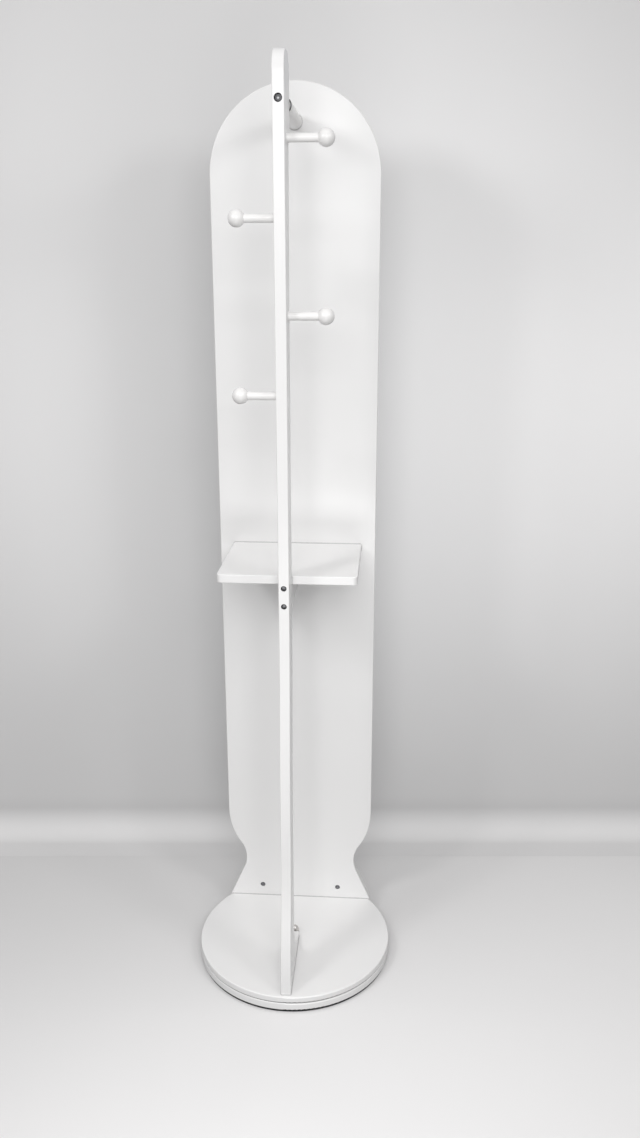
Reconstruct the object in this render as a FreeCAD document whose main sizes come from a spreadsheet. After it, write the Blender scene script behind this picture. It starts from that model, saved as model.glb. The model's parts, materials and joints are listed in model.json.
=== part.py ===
import FreeCAD, Part
import math
import os
import re

import Sketcher
from FreeCAD import Placement, Rotation, Vector

# Revolving hall stand. Millimetres, +Z up, the origin on the floor under the middle of the base.
# The arched board stands behind the spin axis (+Y), the narrow upright in front of it (-Y).

doc = FreeCAD.newDocument("RevolvingHallStand")

# Driving dimensions. The deck is the top face of the turning disc.
SIZES = {
    # round base
    "disc_diameter": (370, "both discs of the base"),
    "ring_height": (5, "anti-slip ring under the base"),
    "ring_inset": (2.5, "edge of the base to the ring"),
    "ring_width": (24, "anti-slip ring, radially"),
    "floor_thickness": (15, "standing disc"),
    "floor_edge_round": (2.5, "edges of the standing disc"),
    "turntable_gap": (1.2, "air between the discs"),
    "turntable_thickness": (12, "turning disc"),
    "turntable_edge_round": (2, "edges of the turning disc"),
    # turntable bearing
    "bearing_diameter": (150, "outside of both bearing plates"),
    "bearing_bore": (88, "inside of both bearing plates"),
    "plate_thickness": (3, "one bearing plate"),
    "plate_gap": (2, "air between the bearing plates"),
    "race_diameter": (120, "circle that the balls run on"),
    "ball_diameter": (6, "bearing ball"),
    "ball_count": (24, "balls in the cage"),
    "ball_play": (0.05, "ball to groove"),
    "cage_thickness": (1, "ball cage"),
    "cage_width": (11, "ball cage, radially"),
    "recess_clearance": (0.5, "bearing plate to its recess"),
    "lower_screw_circle": (101, "screws of the lower plate"),
    "upper_screw_circle": (138, "screws of the upper plate"),
    "plate_screw_diameter": (3.5, "shank of a plate screw"),
    "plate_screw_head": (7, "head of a plate screw"),
    "plate_screw_head_height": (1.8, "head of a plate screw"),
    "plate_screw_length": (8, "plate screw over all"),
    "plate_screw_count": (4, "screws in each plate"),
    # centre pivot
    "pivot_diameter": (8, "pivot bolt"),
    "pivot_head_diameter": (20, "pivot bolt head"),
    "pivot_head_height": (3.5, "pivot bolt head"),
    "bush_diameter": (12, "outside of the pivot bush"),
    "running_clearance": (0.08, "turning to standing part of the pivot"),
    "washer_thickness": (1, "washer under the cap nut"),
    "washer_diameter": (16, "washer under the cap nut"),
    "nut_across_flats": (13, "cap nut"),
    "nut_height": (8.5, "hexagon of the cap nut"),
    "nut_dome": (6, "radius of the nut's cap"),
    # arched board
    "board_width": (290, "arched board"),
    "board_height": (1554, "board above the deck"),
    "board_thickness": (18, "arched board"),
    "board_face": (117, "spin axis to the front face of the board"),
    "board_edge_round": (1.6, "edges of the board"),
    "neck_width": (222, "board at its neck"),
    "neck_height": (90, "neck above the deck"),
    "neck_radius": (60, "hollow curve of the neck"),
    "shoulder_radius": (135, "round curve above the neck"),
    # mirror on the rear face
    "mirror_margin": (20, "mirror edge to board edge"),
    "mirror_foot": (215, "lower edge of the mirror above the deck"),
    "mirror_corner": (12, "lower corners of the mirror"),
    "mirror_thickness": (4, "mirror glass"),
    "tape_thickness": (1, "foam tape behind the mirror"),
    "tape_width": (25, "foam tape"),
    "tape_spread": (160, "outer tape to outer tape"),
    "tape_count": (3, "foam tapes"),
    # upright in front
    "post_thickness": (18, "upright"),
    "post_front": (135, "spin axis to the front edge of the shaft"),
    "post_depth": (47, "shaft, front to rear"),
    "post_rise": (4.5, "top of the upright above the top of the board"),
    "post_edge_round": (1.6, "edges of the upright"),
    "post_top_radius": (30, "top corners of the head"),
    "head_depth": (73, "head, front to rear"),
    "head_length": (88.5, "top of the upright to the end of the head"),
    "collar_depth": (55, "upright below the head, front to rear"),
    "collar_length": (130.5, "top of the upright to the end of the first sweep"),
    "taper_length": (408.5, "top of the upright to the start of the plain shaft"),
    "bend_drop": (68, "top of the shelf to the start of the bend"),
    "knee_height": (330, "end of the bend above the deck"),
    "knee_front": (152, "spin axis to the front edge at the knee"),
    "toe_sweep": (250, "start of the toe's sweep above the deck"),
    "toe_front": (179, "spin axis to the tip of the toe"),
    "toe_height": (12, "plain edge of toe and heel"),
    "heel_gap": (10, "spin axis to the end of the heel"),
    "heel_round": (6, "upper corner of the heel"),
    # shelf and its rail
    "shelf_width": (238, "shelf"),
    "shelf_thickness": (15, "shelf"),
    "shelf_height": (768, "top of the shelf above the deck"),
    "shelf_corner": (8, "front corners of the shelf"),
    "shelf_edge_round": (1.5, "edges of shelf and rail"),
    "rail_height": (38, "rail under the shelf"),
    "rail_thickness": (18, "rail under the shelf"),
    # hanging rod
    "rod_diameter": (25, "hanging rod"),
    "rod_drop": (63, "top of the board to the rod axis"),
    "rod_chamfer": (2, "rear end of the rod"),
    "rod_ring_diameter": (24.5, "rubber ring round the front end of the rod"),
    "rod_ring_bore": (21, "front end of the rod, inside its ring"),
    "rod_ring_thickness": (1.5, "rubber ring round the front end of the rod"),
    # pegs
    "peg_diameter": (13, "stem of a peg"),
    "peg_foot_diameter": (15.5, "flared foot of a stem"),
    "peg_foot_length": (3, "flared foot of a stem"),
    "peg_reach": (67, "middle of the upright to the middle of a ball"),
    "peg_front": (110, "spin axis to the pegs"),
    "peg_ball": (26, "ball of a peg"),
    "peg_seat": (7, "depth of the stem in its ball"),
    "right_upper_drop": (117.5, "top of the upright to the peg"),
    "left_upper_drop": (227.5, "top of the upright to the peg"),
    "right_lower_drop": (368.5, "top of the upright to the peg"),
    "left_lower_drop": (489.5, "top of the upright to the peg"),
    "peg_screw_diameter": (5, "dowel screw of a peg"),
    "peg_screw_in_post": (14, "dowel screw in the upright"),
    "peg_screw_in_stem": (22, "dowel screw in the stem"),
    # connecting bolts and barrel nuts
    "bolt_diameter": (6, "connecting bolts"),
    "bolt_head_height": (3, "connecting bolts"),
    "bolt_head_rim": (0.7, "bevel of a bolt head"),
    "bolt_end": (6, "bolt past the middle of its barrel nut"),
    "base_bolt_head": (13, "heads under the turning disc"),
    "shelf_bolt_head": (9.5, "heads of the two shelf bolts"),
    "rod_bolt_head": (12, "head of the rod bolt"),
    "head_sunk": (2, "bolt heads below the front of the upright"),
    "socket_width": (4, "hexagon socket in a bolt head"),
    "barrel_diameter": (10, "barrel nut"),
    "barrel_length": (13, "barrel nut"),
    "barrel_sunk": (1, "barrel nuts below the face of board or upright"),
    "slot_width": (1.2, "screwdriver slot of barrel nut and cam lock"),
    "barrel_height": (25, "barrel nuts of board and upright above the deck"),
    "board_bolt_spread": (156, "bolts under the board"),
    "post_bolt_front": (152, "spin axis to the front bolt under the upright"),
    "post_bolt_spread": (40, "bolts under the upright"),
    "shelf_bolt_spread": (31, "upper to lower shelf bolt"),
    "shelf_nut_depth": (34, "rear of the upright to the barrel nuts behind it"),
    # dowels, cam fittings and the rod's fittings
    "dowel_diameter": (8, "wooden dowel"),
    "dowel_length": (30, "wooden dowel"),
    "dowel_chamfer": (1, "ends of a dowel or dowel screw"),
    "dowel_in_disc": (9, "board dowel in the turning disc"),
    "dowel_in_board": (12, "rail dowel in the board"),
    "board_dowel_spread": (60, "dowels under the board"),
    "rail_dowel_spread": (18, "dowels in the rail's end"),
    "cam_diameter": (15, "cam lock"),
    "cam_depth": (12, "cam lock"),
    "cam_distance": (24, "rear edge of the shelf to the middle of a cam"),
    "cam_spread": (160, "cam lock to cam lock"),
    "cam_bolt_diameter": (6, "cam bolt"),
    "cam_bolt_head": (7, "head of a cam bolt"),
    "cam_bolt_head_length": (3, "head of a cam bolt"),
    "cam_bolt_in_board": (11, "cam bolt in the board"),
    "insert_diameter": (10, "threaded insert in the rod"),
    "insert_length": (15, "threaded insert in the rod"),
    "rod_screw_diameter": (6, "dowel screw at the rear of the rod"),
    "rod_screw_in_board": (13, "rear dowel screw in the board"),
    "rod_screw_in_rod": (30, "rear dowel screw in the rod"),
    "hole_clearance": (0.1, "fastener to its hole, radially"),
    "bore_end": (1, "drilled hole past the end of its fastener"),
}

# Lengths that follow from the driving dimensions.
DERIVED = {
    "floor_top": "(ring_height + floor_thickness)",
    "turntable_foot": "(floor_top + turntable_gap)",
    "deck": "(turntable_foot + turntable_thickness)",
    "bearing_height": "(2 * plate_thickness + plate_gap)",
    "bearing_foot": "(turntable_foot - bearing_height)",
    "recess_depth": "(bearing_height - turntable_gap)",
    "ball_level": "(bearing_foot + bearing_height / 2)",
    "nut_foot": "(deck + running_clearance + washer_thickness)",
    "board_middle": "(board_face + board_thickness / 2)",
    "arch_height": "(board_height - board_width / 2)",
    "mirror_width": "(board_width - 2 * mirror_margin)",
    "post_height": "(board_height + post_rise)",
    "post_rear": "(post_front - post_depth)",
    "knee_rear": "(knee_front - post_depth)",
    "head_rear": "(post_front - head_depth)",
    "collar_rear": "(post_front - collar_depth)",
    "heel_radius": "(knee_rear - heel_gap - heel_round)",
    "bend_height": "(shelf_height - bend_drop)",
    "shelf_foot": "(shelf_height - shelf_thickness)",
    "shelf_bolt_level": "(shelf_height - shelf_thickness / 2)",
    "rail_bolt_level": "(shelf_bolt_level - shelf_bolt_spread)",
    "rail_middle": "(shelf_foot - rail_height / 2)",
    "shelf_nut_place": "(shelf_nut_depth - post_rear)",
    "rod_height": "(board_height - rod_drop)",
    "rod_length": "(board_face + head_rear)",
    "right_upper_peg": "(post_height - right_upper_drop)",
    "left_upper_peg": "(post_height - left_upper_drop)",
    "right_lower_peg": "(post_height - right_lower_drop)",
    "left_lower_peg": "(post_height - left_lower_drop)",
    "peg_length": "(peg_reach - post_thickness / 2 - peg_ball / 2 + peg_seat)",
    "bolt_hole": "(bolt_diameter + 2 * hole_clearance)",
    "base_bolt_bore": "(barrel_height + bolt_end + bore_end)",
    "shelf_bolt_bore": "(shelf_nut_depth + bolt_end + bore_end)",
    "screw_hole": "(plate_screw_diameter + 2 * hole_clearance)",
    "screw_bore": "(plate_screw_length - plate_thickness + bore_end)",
    "barrel_hole": "(barrel_diameter + 2 * hole_clearance)",
    "barrel_bore": "(barrel_length + bore_end)",
    "dowel_hole": "(dowel_diameter + 2 * hole_clearance)",
    "cam_bolt_bore": "(cam_bolt_head + 2 * hole_clearance)",
    "peg_screw_hole": "(peg_screw_diameter + 2 * hole_clearance)",
    "rod_screw_hole": "(rod_screw_diameter + 2 * hole_clearance)",
}

# Ways to turn a body's own Z axis.
UPSIDE_DOWN = ((1, 0, 0), 180)
TO_REAR = ((1, 0, 0), -90)
TO_FRONT = ((1, 0, 0), 90)
TO_RIGHT = ((0, 1, 0), 90)
TO_LEFT = ((0, 1, 0), -90)
TO_LEFT_ROLLED = ((-1, -1, 1), 120)

sheet = doc.addObject("Spreadsheet::Sheet", "Sizes")
for row, (alias, (size, note)) in enumerate(SIZES.items(), start=1):
    sheet.set(f"A{row}", alias)
    sheet.set(f"B{row}", str(size))
    sheet.set(f"C{row}", note)
    sheet.setAlias(f"B{row}", alias)
doc.recompute()

bodies = []


def bound(text):
    """Turn words such as board_width into references to the sheet's cells."""
    while any(re.search(rf"\b{word}\b", text) for word in DERIVED):
        for word, meaning in DERIVED.items():
            text = re.sub(rf"\b{word}\b", meaning, text)
    return re.sub(r"\b[a-z]+(?:_[a-z]+)+\b", lambda found: "Sizes." + found.group(), text)


def number(text):
    """Value of an expression at the sheet's present sizes."""
    return float(sheet.evalExpression(bound(text)))


# ---------------------------------------------------------------- bodies and sketches

def new_body(name, x="0", y="0", z="0", turn=None):
    """A sub-part with its own Label, placed by expressions."""
    body = doc.addObject("PartDesign::Body", name)
    body.Label = name
    body.AllowCompound = True
    if turn:
        body.Placement = Placement(Vector(), Rotation(Vector(*turn[0]), turn[1]))
    for axis, text in zip("xyz", (x, y, z)):
        body.setExpression(f"Placement.Base.{axis}", bound(text))
    bodies.append(body)
    return body


def origin_part(body, role):
    return next(item for item in body.Origin.OriginFeatures if item.Role == role)


def new_sketch(body, plane, lift="0"):
    """Sketch on one of the body's own origin planes, lifted along the plane's normal."""
    sketch = body.newObject("Sketcher::SketchObject", body.Name + "_sketch")
    sketch.AttachmentSupport = [(origin_part(body, plane), "")]
    sketch.MapMode = "FlatFace"
    sketch.setExpression("AttachmentOffset.Base.z", bound(lift))
    return sketch


def hold(sketch, kind, *where, text):
    """Add one dimension whose value is bound to the sheet."""
    index = sketch.addConstraint(Sketcher.Constraint(kind, *where, number(text)))
    sketch.setExpression(f"Constraints[{index}]", bound(text))


def circle(sketch, x, y, diameter):
    shape = Part.Circle(Vector(number(x), number(y), 0), Vector(0, 0, 1), number(diameter) / 2)
    ring = sketch.addGeometry(shape, False)
    hold(sketch, "DistanceX", ring, 3, text=x)
    hold(sketch, "DistanceY", ring, 3, text=y)
    hold(sketch, "Diameter", ring, text=diameter)


def plain(value):
    return number(value) if isinstance(value, str) else value


def arc_shape(start, end, radius, turn):
    """The shorter arc from start to end that turns left (+1) or right (-1)."""
    chord = end - start
    rise = math.sqrt(max(radius ** 2 - chord.Length ** 2 / 4, 0))
    left = Vector(-chord.y, chord.x, 0).normalize()
    centre = start + chord / 2 + left * rise * turn
    ends = (start, end) if turn > 0 else (end, start)
    angles = [math.atan2(spot.y - centre.y, spot.x - centre.x) for spot in ends]
    return Part.ArcOfCircle(Part.Circle(centre, Vector(0, 0, 1), radius), *angles)


def outline(sketch, points):
    """Closed outline. Each point is (x, y), or (x, y, radius, turn) where an arc leaves it.
    A coordinate given as text is held by the sheet. A point with a coordinate given as a plain
    number is only a first guess there, and the edges that meet in it are tangent."""
    places = [Vector(plain(point[0]), plain(point[1]), 0) for point in points]
    edges = []
    for index, point in enumerate(points):
        start = places[index]
        end = places[(index + 1) % len(points)]
        if len(point) == 2:
            edge = sketch.addGeometry(Part.LineSegment(start, end), False)
            edges.append((edge, 1, 2))
            continue
        radius, turn = point[2:]
        edge = sketch.addGeometry(arc_shape(start, end, plain(radius), turn), False)
        edges.append((edge, 1, 2) if turn > 0 else (edge, 2, 1))
    for index, point in enumerate(points):
        edge, start, _ = edges[index]
        before, _, end = edges[index - 1]
        fixed = isinstance(point[0], str) and isinstance(point[1], str)
        joint = "Coincident" if fixed else "Tangent"
        sketch.addConstraint(Sketcher.Constraint(joint, before, end, edge, start))
        if isinstance(point[0], str):
            hold(sketch, "DistanceX", edge, start, text=point[0])
        if isinstance(point[1], str):
            hold(sketch, "DistanceY", edge, start, text=point[1])
        if len(point) > 2:
            hold(sketch, "Radius", edge, text=point[2])
    return [edge for edge, _, _ in edges]


def mirrored(points):
    """The same chain of edges on the other side of the sketch's Y axis, walked backwards."""
    chain = []
    for index in range(len(points) - 1, -1, -1):
        x, y = points[index][:2]
        x = f"-({x})" if isinstance(x, str) else -x
        edge = points[index - 1][2:] if index else ()
        chain.append((x, y, *edge))
    return chain


def sweep(start, end):
    """S-shaped edge between two upright edges: two equal tangent arcs. All ends are text."""
    (x0, y0), (x1, y1) = start, end
    across = f"(({x1}) - ({x0}))"
    along = f"(({y1}) - ({y0}))"
    radius = f"({across} * {across} + {along} * {along}) / (4 * abs({across}))"
    turn = -1 if number(across) * number(along) > 0 else 1
    return [(x0, y0, radius, turn),
            (f"(({x0}) + ({x1})) / 2", f"(({y0}) + ({y1})) / 2", radius, -turn)]


# ---------------------------------------------------------------- features

def pad(body, sketch, length, centred=False, reverse=False):
    feature = body.newObject("PartDesign::Pad", body.Name + "_pad")
    feature.Profile = sketch
    feature.setExpression("Length", bound(length))
    feature.Midplane = centred
    feature.Reversed = reverse
    doc.recompute()
    return feature


def pocket(body, sketch, depth, centred=False, reverse=False):
    """Cut a sketch into the body, and make sure that it does cut."""
    before = body.Shape.Volume
    feature = body.newObject("PartDesign::Pocket", body.Name + "_pocket")
    feature.Profile = sketch
    feature.setExpression("Length", bound(depth))
    feature.Midplane = centred
    feature.Reversed = reverse
    doc.recompute()
    if not body.Shape.Volume < before:
        raise RuntimeError(f"{body.Label}: a pocket cuts nothing")
    return feature


def drill(body, plane, holes, diameter, depth, lift="0", centred=False, reverse=False):
    """Round holes at (x, y) places of one origin plane, all in one pocket."""
    sketch = new_sketch(body, plane, lift)
    for x, y in holes:
        circle(sketch, x, y, diameter)
    return pocket(body, sketch, depth, centred, reverse)


def disc(body, diameter, height, bore=None):
    """Round plate on the body's XY plane, with or without a bore."""
    sketch = new_sketch(body, "XY_Plane")
    circle(sketch, "0", "0", diameter)
    if bore:
        circle(sketch, "0", "0", bore)
    return pad(body, sketch, height)


def turned(body, points):
    """Spin an outline of (radius, height) points about the body's Z axis."""
    sketch = new_sketch(body, "XZ_Plane")
    outline(sketch, points)
    feature = body.newObject("PartDesign::Revolution", body.Name + "_turned")
    feature.Profile = sketch
    feature.ReferenceAxis = (origin_part(body, "Z_Axis"), [""])
    feature.Angle = 360
    doc.recompute()
    return feature


def bar(body, diameter, length, chamfer):
    """Round bar along the body's Z axis with bevelled ends."""
    return turned(body, [
        ("0", "0"),
        (f"{diameter} / 2 - {chamfer}", "0"),
        (f"{diameter} / 2", chamfer),
        (f"{diameter} / 2", f"{length} - {chamfer}"),
        (f"{diameter} / 2 - {chamfer}", length),
        ("0", length),
    ])


def round_edges(body, radius, wanted):
    """Fillet the edges of the body's last feature that the test picks out."""
    base = body.Tip
    names = [f"Edge{index}" for index, edge in enumerate(base.Shape.Edges, start=1) if wanted(edge)]
    feature = body.newObject("PartDesign::Fillet", body.Name + "_round")
    feature.Base = (base, names)
    feature.setExpression("Radius", bound(radius))
    doc.recompute()
    return feature


def in_plane(edge, axis, *levels):
    """Whether an edge lies whole in one of the planes axis = level."""
    low = getattr(edge.BoundBox, axis + "Min")
    high = getattr(edge.BoundBox, axis + "Max")
    return any(abs(low - level) < 0.01 and abs(high - level) < 0.01 for level in levels)


def around(body, features, count):
    """Repeat features about the body's Z axis."""
    ring = body.newObject("PartDesign::PolarPattern", body.Name + "_ring")
    ring.Originals = features
    ring.Axis = (origin_part(body, "Z_Axis"), [""])
    ring.Angle = 360
    ring.setExpression("Occurrences", bound(count))
    body.Tip = ring
    doc.recompute()


def in_row(body, features, axis, spread, count="2"):
    """Repeat features in a line, first to last over the given spread."""
    row = body.newObject("PartDesign::LinearPattern", body.Name + "_row")
    row.Originals = features
    row.Direction = (origin_part(body, axis), [""])
    row.setExpression("Length", bound(spread))
    row.setExpression("Occurrences", bound(count))
    body.Tip = row
    doc.recompute()


def both_sides(x, y):
    return [(x, y), (f"-{x}", y)]


# ---------------------------------------------------------------- standing part of the base

def make_anti_slip_ring():
    body = new_body("anti_slip_ring")
    outer = "(disc_diameter - 2 * ring_inset)"
    disc(body, outer, "ring_height", bore=f"{outer} - 2 * ring_width")


def make_floor_disc():
    """Standing disc: recessed for the bearing from above and for the pivot's head from below."""
    body = new_body("floor_disc", z="ring_height")
    disc(body, "disc_diameter", "floor_thickness")
    top = number("floor_thickness")
    round_edges(body, "floor_edge_round", lambda edge: in_plane(edge, "Z", 0, top))
    centre = [("0", "0")]
    drill(body, "XY_Plane", centre, "bearing_diameter + 2 * recess_clearance", "recess_depth",
          lift="floor_thickness")
    drill(body, "XY_Plane", centre, "pivot_diameter + 2 * hole_clearance", "floor_thickness",
          reverse=True)
    drill(body, "XY_Plane", centre, "pivot_head_diameter + 2 * hole_clearance",
          "pivot_head_height", reverse=True)
    screw = drill(body, "XY_Plane", [("lower_screw_circle / 2", "0")], "screw_hole", "screw_bore",
                  lift="floor_thickness - recess_depth")
    around(body, [screw], "plate_screw_count")


def make_bearing_plate(name, level, screw_circle, turn=None):
    """Flat ring with a ball groove and sunk screw holes, its groove side local +Z."""
    body = new_body(name, z=level, turn=turn)
    groove = "(ball_diameter / 2 + ball_play)"
    half = f"sqrt({groove} * {groove} - plate_gap * plate_gap / 4)"
    turned(body, [
        ("bearing_bore / 2", "0"),
        ("bearing_diameter / 2", "0"),
        ("bearing_diameter / 2", "plate_thickness"),
        (f"race_diameter / 2 + {half}", "plate_thickness", groove, -1),
        (f"race_diameter / 2 - {half}", "plate_thickness"),
        ("bearing_bore / 2", "plate_thickness"),
    ])
    place = [(f"{screw_circle} / 2", "0")]
    shank = drill(body, "XY_Plane", place, "screw_hole", "plate_thickness", reverse=True)
    head = drill(body, "XY_Plane", place, "plate_screw_head + 2 * hole_clearance",
                 "plate_screw_head_height", lift="plate_thickness")
    around(body, [shank, head], "plate_screw_count")


def make_plate_screws(name, level, screw_circle, turn=None):
    """Screws of one bearing plate, their heads sunk in its groove side."""
    body = new_body(name, z=level, turn=turn)
    head_foot = "(plate_thickness - plate_screw_head_height)"
    head = new_sketch(body, "XY_Plane", head_foot)
    circle(head, f"{screw_circle} / 2", "0", "plate_screw_head")
    head_pad = pad(body, head, "plate_screw_head_height")
    shank = new_sketch(body, "XY_Plane", head_foot)
    circle(shank, f"{screw_circle} / 2", "0", "plate_screw_diameter")
    shank_pad = pad(body, shank, "plate_screw_length - plate_screw_head_height", reverse=True)
    around(body, [head_pad, shank_pad], "plate_screw_count")


def make_pivot_bolt():
    """Round-headed bolt, its head sunk in the underside of the standing disc."""
    body = new_body("pivot_bolt", z="ring_height")
    top = "nut_foot + nut_height - ring_height"
    turned(body, [
        ("0", "0"),
        ("pivot_head_diameter / 2", "0"),
        ("pivot_head_diameter / 2", "pivot_head_height"),
        ("pivot_diameter / 2", "pivot_head_height"),
        ("pivot_diameter / 2", top),
        ("0", top),
    ])


def make_pivot_washer():
    body = new_body("pivot_washer", z="deck + running_clearance")
    disc(body, "washer_diameter", "washer_thickness", bore="pivot_diameter + 2 * hole_clearance")


def make_pivot_cap_nut():
    """Hexagon with a domed cap, its bore closed at the top."""
    body = new_body("pivot_cap_nut", z="nut_foot")
    prism = body.newObject("PartDesign::AdditivePrism", "cap_nut_hexagon")
    prism.Polygon = 6
    prism.setExpression("Circumradius", bound("nut_across_flats / 2 / cos(30)"))
    prism.setExpression("Height", bound("nut_height"))
    doc.recompute()
    turned(body, [
        ("0", "nut_height / 2"),
        ("nut_dome", "nut_height / 2"),
        ("nut_dome", "nut_height", "nut_dome", 1),
        ("0", "nut_height + nut_dome"),
    ])
    drill(body, "XY_Plane", [("0", "0")], "pivot_diameter + 2 * hole_clearance",
          "nut_height + bore_end / 2", reverse=True)


# ---------------------------------------------------------------- ball cage

def make_cage_ring():
    body = new_body("cage_ring", z="ball_level - cage_thickness / 2")
    disc(body, "race_diameter + cage_width", "cage_thickness", bore="race_diameter - cage_width")
    seat = drill(body, "XY_Plane", [("race_diameter / 2", "0")], "ball_diameter + 2 * ball_play",
                 "cage_thickness", reverse=True)
    around(body, [seat], "ball_count")


def make_bearing_balls():
    body = new_body("bearing_balls", z="ball_level")
    sketch = new_sketch(body, "XZ_Plane")
    radius = "ball_diameter / 2"
    outline(sketch, [
        ("race_diameter / 2", f"-{radius}", radius, 1),
        (f"race_diameter / 2 + {radius}", "0", radius, 1),
        ("race_diameter / 2", radius),
    ])
    middle = number("race_diameter / 2")
    line = Part.LineSegment(Vector(middle, -number(radius), 0), Vector(middle, number(radius), 0))
    axis = sketch.addGeometry(line, True)
    sketch.addConstraint(Sketcher.Constraint("Vertical", axis))
    hold(sketch, "DistanceX", axis, 1, text="race_diameter / 2")
    ball = body.newObject("PartDesign::Revolution", "bearing_ball")
    ball.Profile = sketch
    ball.ReferenceAxis = (sketch, ["Axis0"])
    ball.Angle = 360
    doc.recompute()
    around(body, [ball], "ball_count")


# ---------------------------------------------------------------- turning disc

def make_turntable_disc():
    """Turning disc: bush bore, sunk bolts and plate screws from below, dowels from above."""
    body = new_body("turntable_disc", z="turntable_foot")
    disc(body, "disc_diameter", "turntable_thickness")
    top = number("turntable_thickness")
    round_edges(body, "turntable_edge_round", lambda edge: in_plane(edge, "Z", 0, top))
    drill(body, "XY_Plane", [("0", "0")], "bush_diameter", "turntable_thickness", reverse=True)
    bolts = both_sides("board_bolt_spread / 2", "board_middle")
    bolts += [("0", "-post_bolt_front"), ("0", "post_bolt_spread - post_bolt_front")]
    drill(body, "XY_Plane", bolts, "bolt_hole", "turntable_thickness", reverse=True)
    drill(body, "XY_Plane", bolts, "base_bolt_head + 2 * hole_clearance", "bolt_head_height",
          reverse=True)
    drill(body, "XY_Plane", both_sides("board_dowel_spread / 2", "board_middle"), "dowel_hole",
          "dowel_in_disc", lift="turntable_thickness")
    screw = drill(body, "XY_Plane", [("upper_screw_circle / 2", "0")], "screw_hole", "screw_bore",
                  reverse=True)
    around(body, [screw], "plate_screw_count")


def make_pivot_bush():
    body = new_body("pivot_bush", z="turntable_foot")
    disc(body, "bush_diameter", "turntable_thickness",
         bore="pivot_diameter + 2 * running_clearance")


# ---------------------------------------------------------------- arched board and mirror

def make_back_board():
    """Board with a round arch on top and a narrow neck above its flared foot."""
    body = new_body("back_board", y="board_middle", z="deck")
    sketch = new_sketch(body, "XZ_Plane")
    neck = number("neck_width / 2")
    neck_level = number("neck_height")
    right = [
        ("board_width / 2", "0"),
        (neck + 5, neck_level - 24, "neck_radius", -1),
        (neck + 10, neck_level + 34, "shoulder_radius", 1),
        ("board_width / 2", neck_level + 110),
        ("board_width / 2", "arch_height", "board_width / 2", 1),
        ("0", "board_height"),
    ]
    edges = outline(sketch, right[:-1] + mirrored(right))
    right_neck, left_neck = edges[1], edges[-3]
    for edge, sign in ((right_neck, ""), (left_neck, "-")):
        hold(sketch, "DistanceX", edge, 3, text=f"{sign}(neck_width / 2 + neck_radius)")
        hold(sketch, "DistanceY", edge, 3, text="neck_height")
    pad(body, sketch, "board_thickness", centred=True)
    face = number("board_thickness / 2")
    round_edges(body, "board_edge_round",
                lambda edge: in_plane(edge, "Y", -face, face) and edge.BoundBox.ZMax > 1)
    front = "board_thickness / 2"
    bolts = "board_bolt_spread / 2"
    drill(body, "XY_Plane", both_sides(bolts, "0"), "bolt_hole", "base_bolt_bore", reverse=True)
    drill(body, "XZ_Plane", both_sides(bolts, "barrel_height"), "barrel_hole",
          "barrel_bore + barrel_sunk", lift=front)
    drill(body, "XY_Plane", both_sides("board_dowel_spread / 2", "0"), "dowel_hole",
          "dowel_length - dowel_in_disc + bore_end", reverse=True)
    drill(body, "XZ_Plane", [("0", "rod_height")], "rod_screw_hole",
          "rod_screw_in_board + bore_end", lift=front)
    drill(body, "XZ_Plane", both_sides("cam_spread / 2", "shelf_bolt_level"),
          "cam_bolt_diameter + 2 * hole_clearance", "cam_bolt_in_board + bore_end", lift=front)
    dowels = [("0", f"rail_middle {sign} rail_dowel_spread / 2") for sign in "+-"]
    drill(body, "XZ_Plane", dowels, "dowel_hole", "dowel_in_board + bore_end", lift=front)


def make_mirror_panel():
    """Arched mirror on the rear face, a margin in from the board's edge."""
    body = new_body("mirror_panel", y="board_face + board_thickness + tape_thickness", z="deck")
    sketch = new_sketch(body, "XZ_Plane")
    right = [
        ("mirror_width / 2", "mirror_foot"),
        ("mirror_width / 2", "arch_height", "mirror_width / 2", 1),
        ("0", "board_height - mirror_margin"),
    ]
    outline(sketch, right[:-1] + mirrored(right))
    pad(body, sketch, "mirror_thickness", reverse=True)
    foot = number("mirror_foot")
    depth = number("mirror_thickness")
    round_edges(body, "mirror_corner",
                lambda edge: in_plane(edge, "Z", foot) and edge.BoundBox.YLength > depth / 2)


def make_mirror_tapes():
    """Upright strips of foam tape between board and mirror."""
    body = new_body("mirror_tapes", x="-tape_spread / 2", y="board_face + board_thickness",
                    z="deck")
    sketch = new_sketch(body, "XZ_Plane")
    outline(sketch, [
        ("-tape_width / 2", "mirror_foot + mirror_margin"),
        ("tape_width / 2", "mirror_foot + mirror_margin"),
        ("tape_width / 2", "arch_height"),
        ("-tape_width / 2", "arch_height"),
    ])
    strip = pad(body, sketch, "tape_thickness", reverse=True)
    in_row(body, [strip], "X_Axis", "tape_spread", "tape_count")


# ---------------------------------------------------------------- upright

def peg_places(side):
    return [("-peg_front", f"{side}_{level}_peg") for level in ("upper", "lower")]


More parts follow.
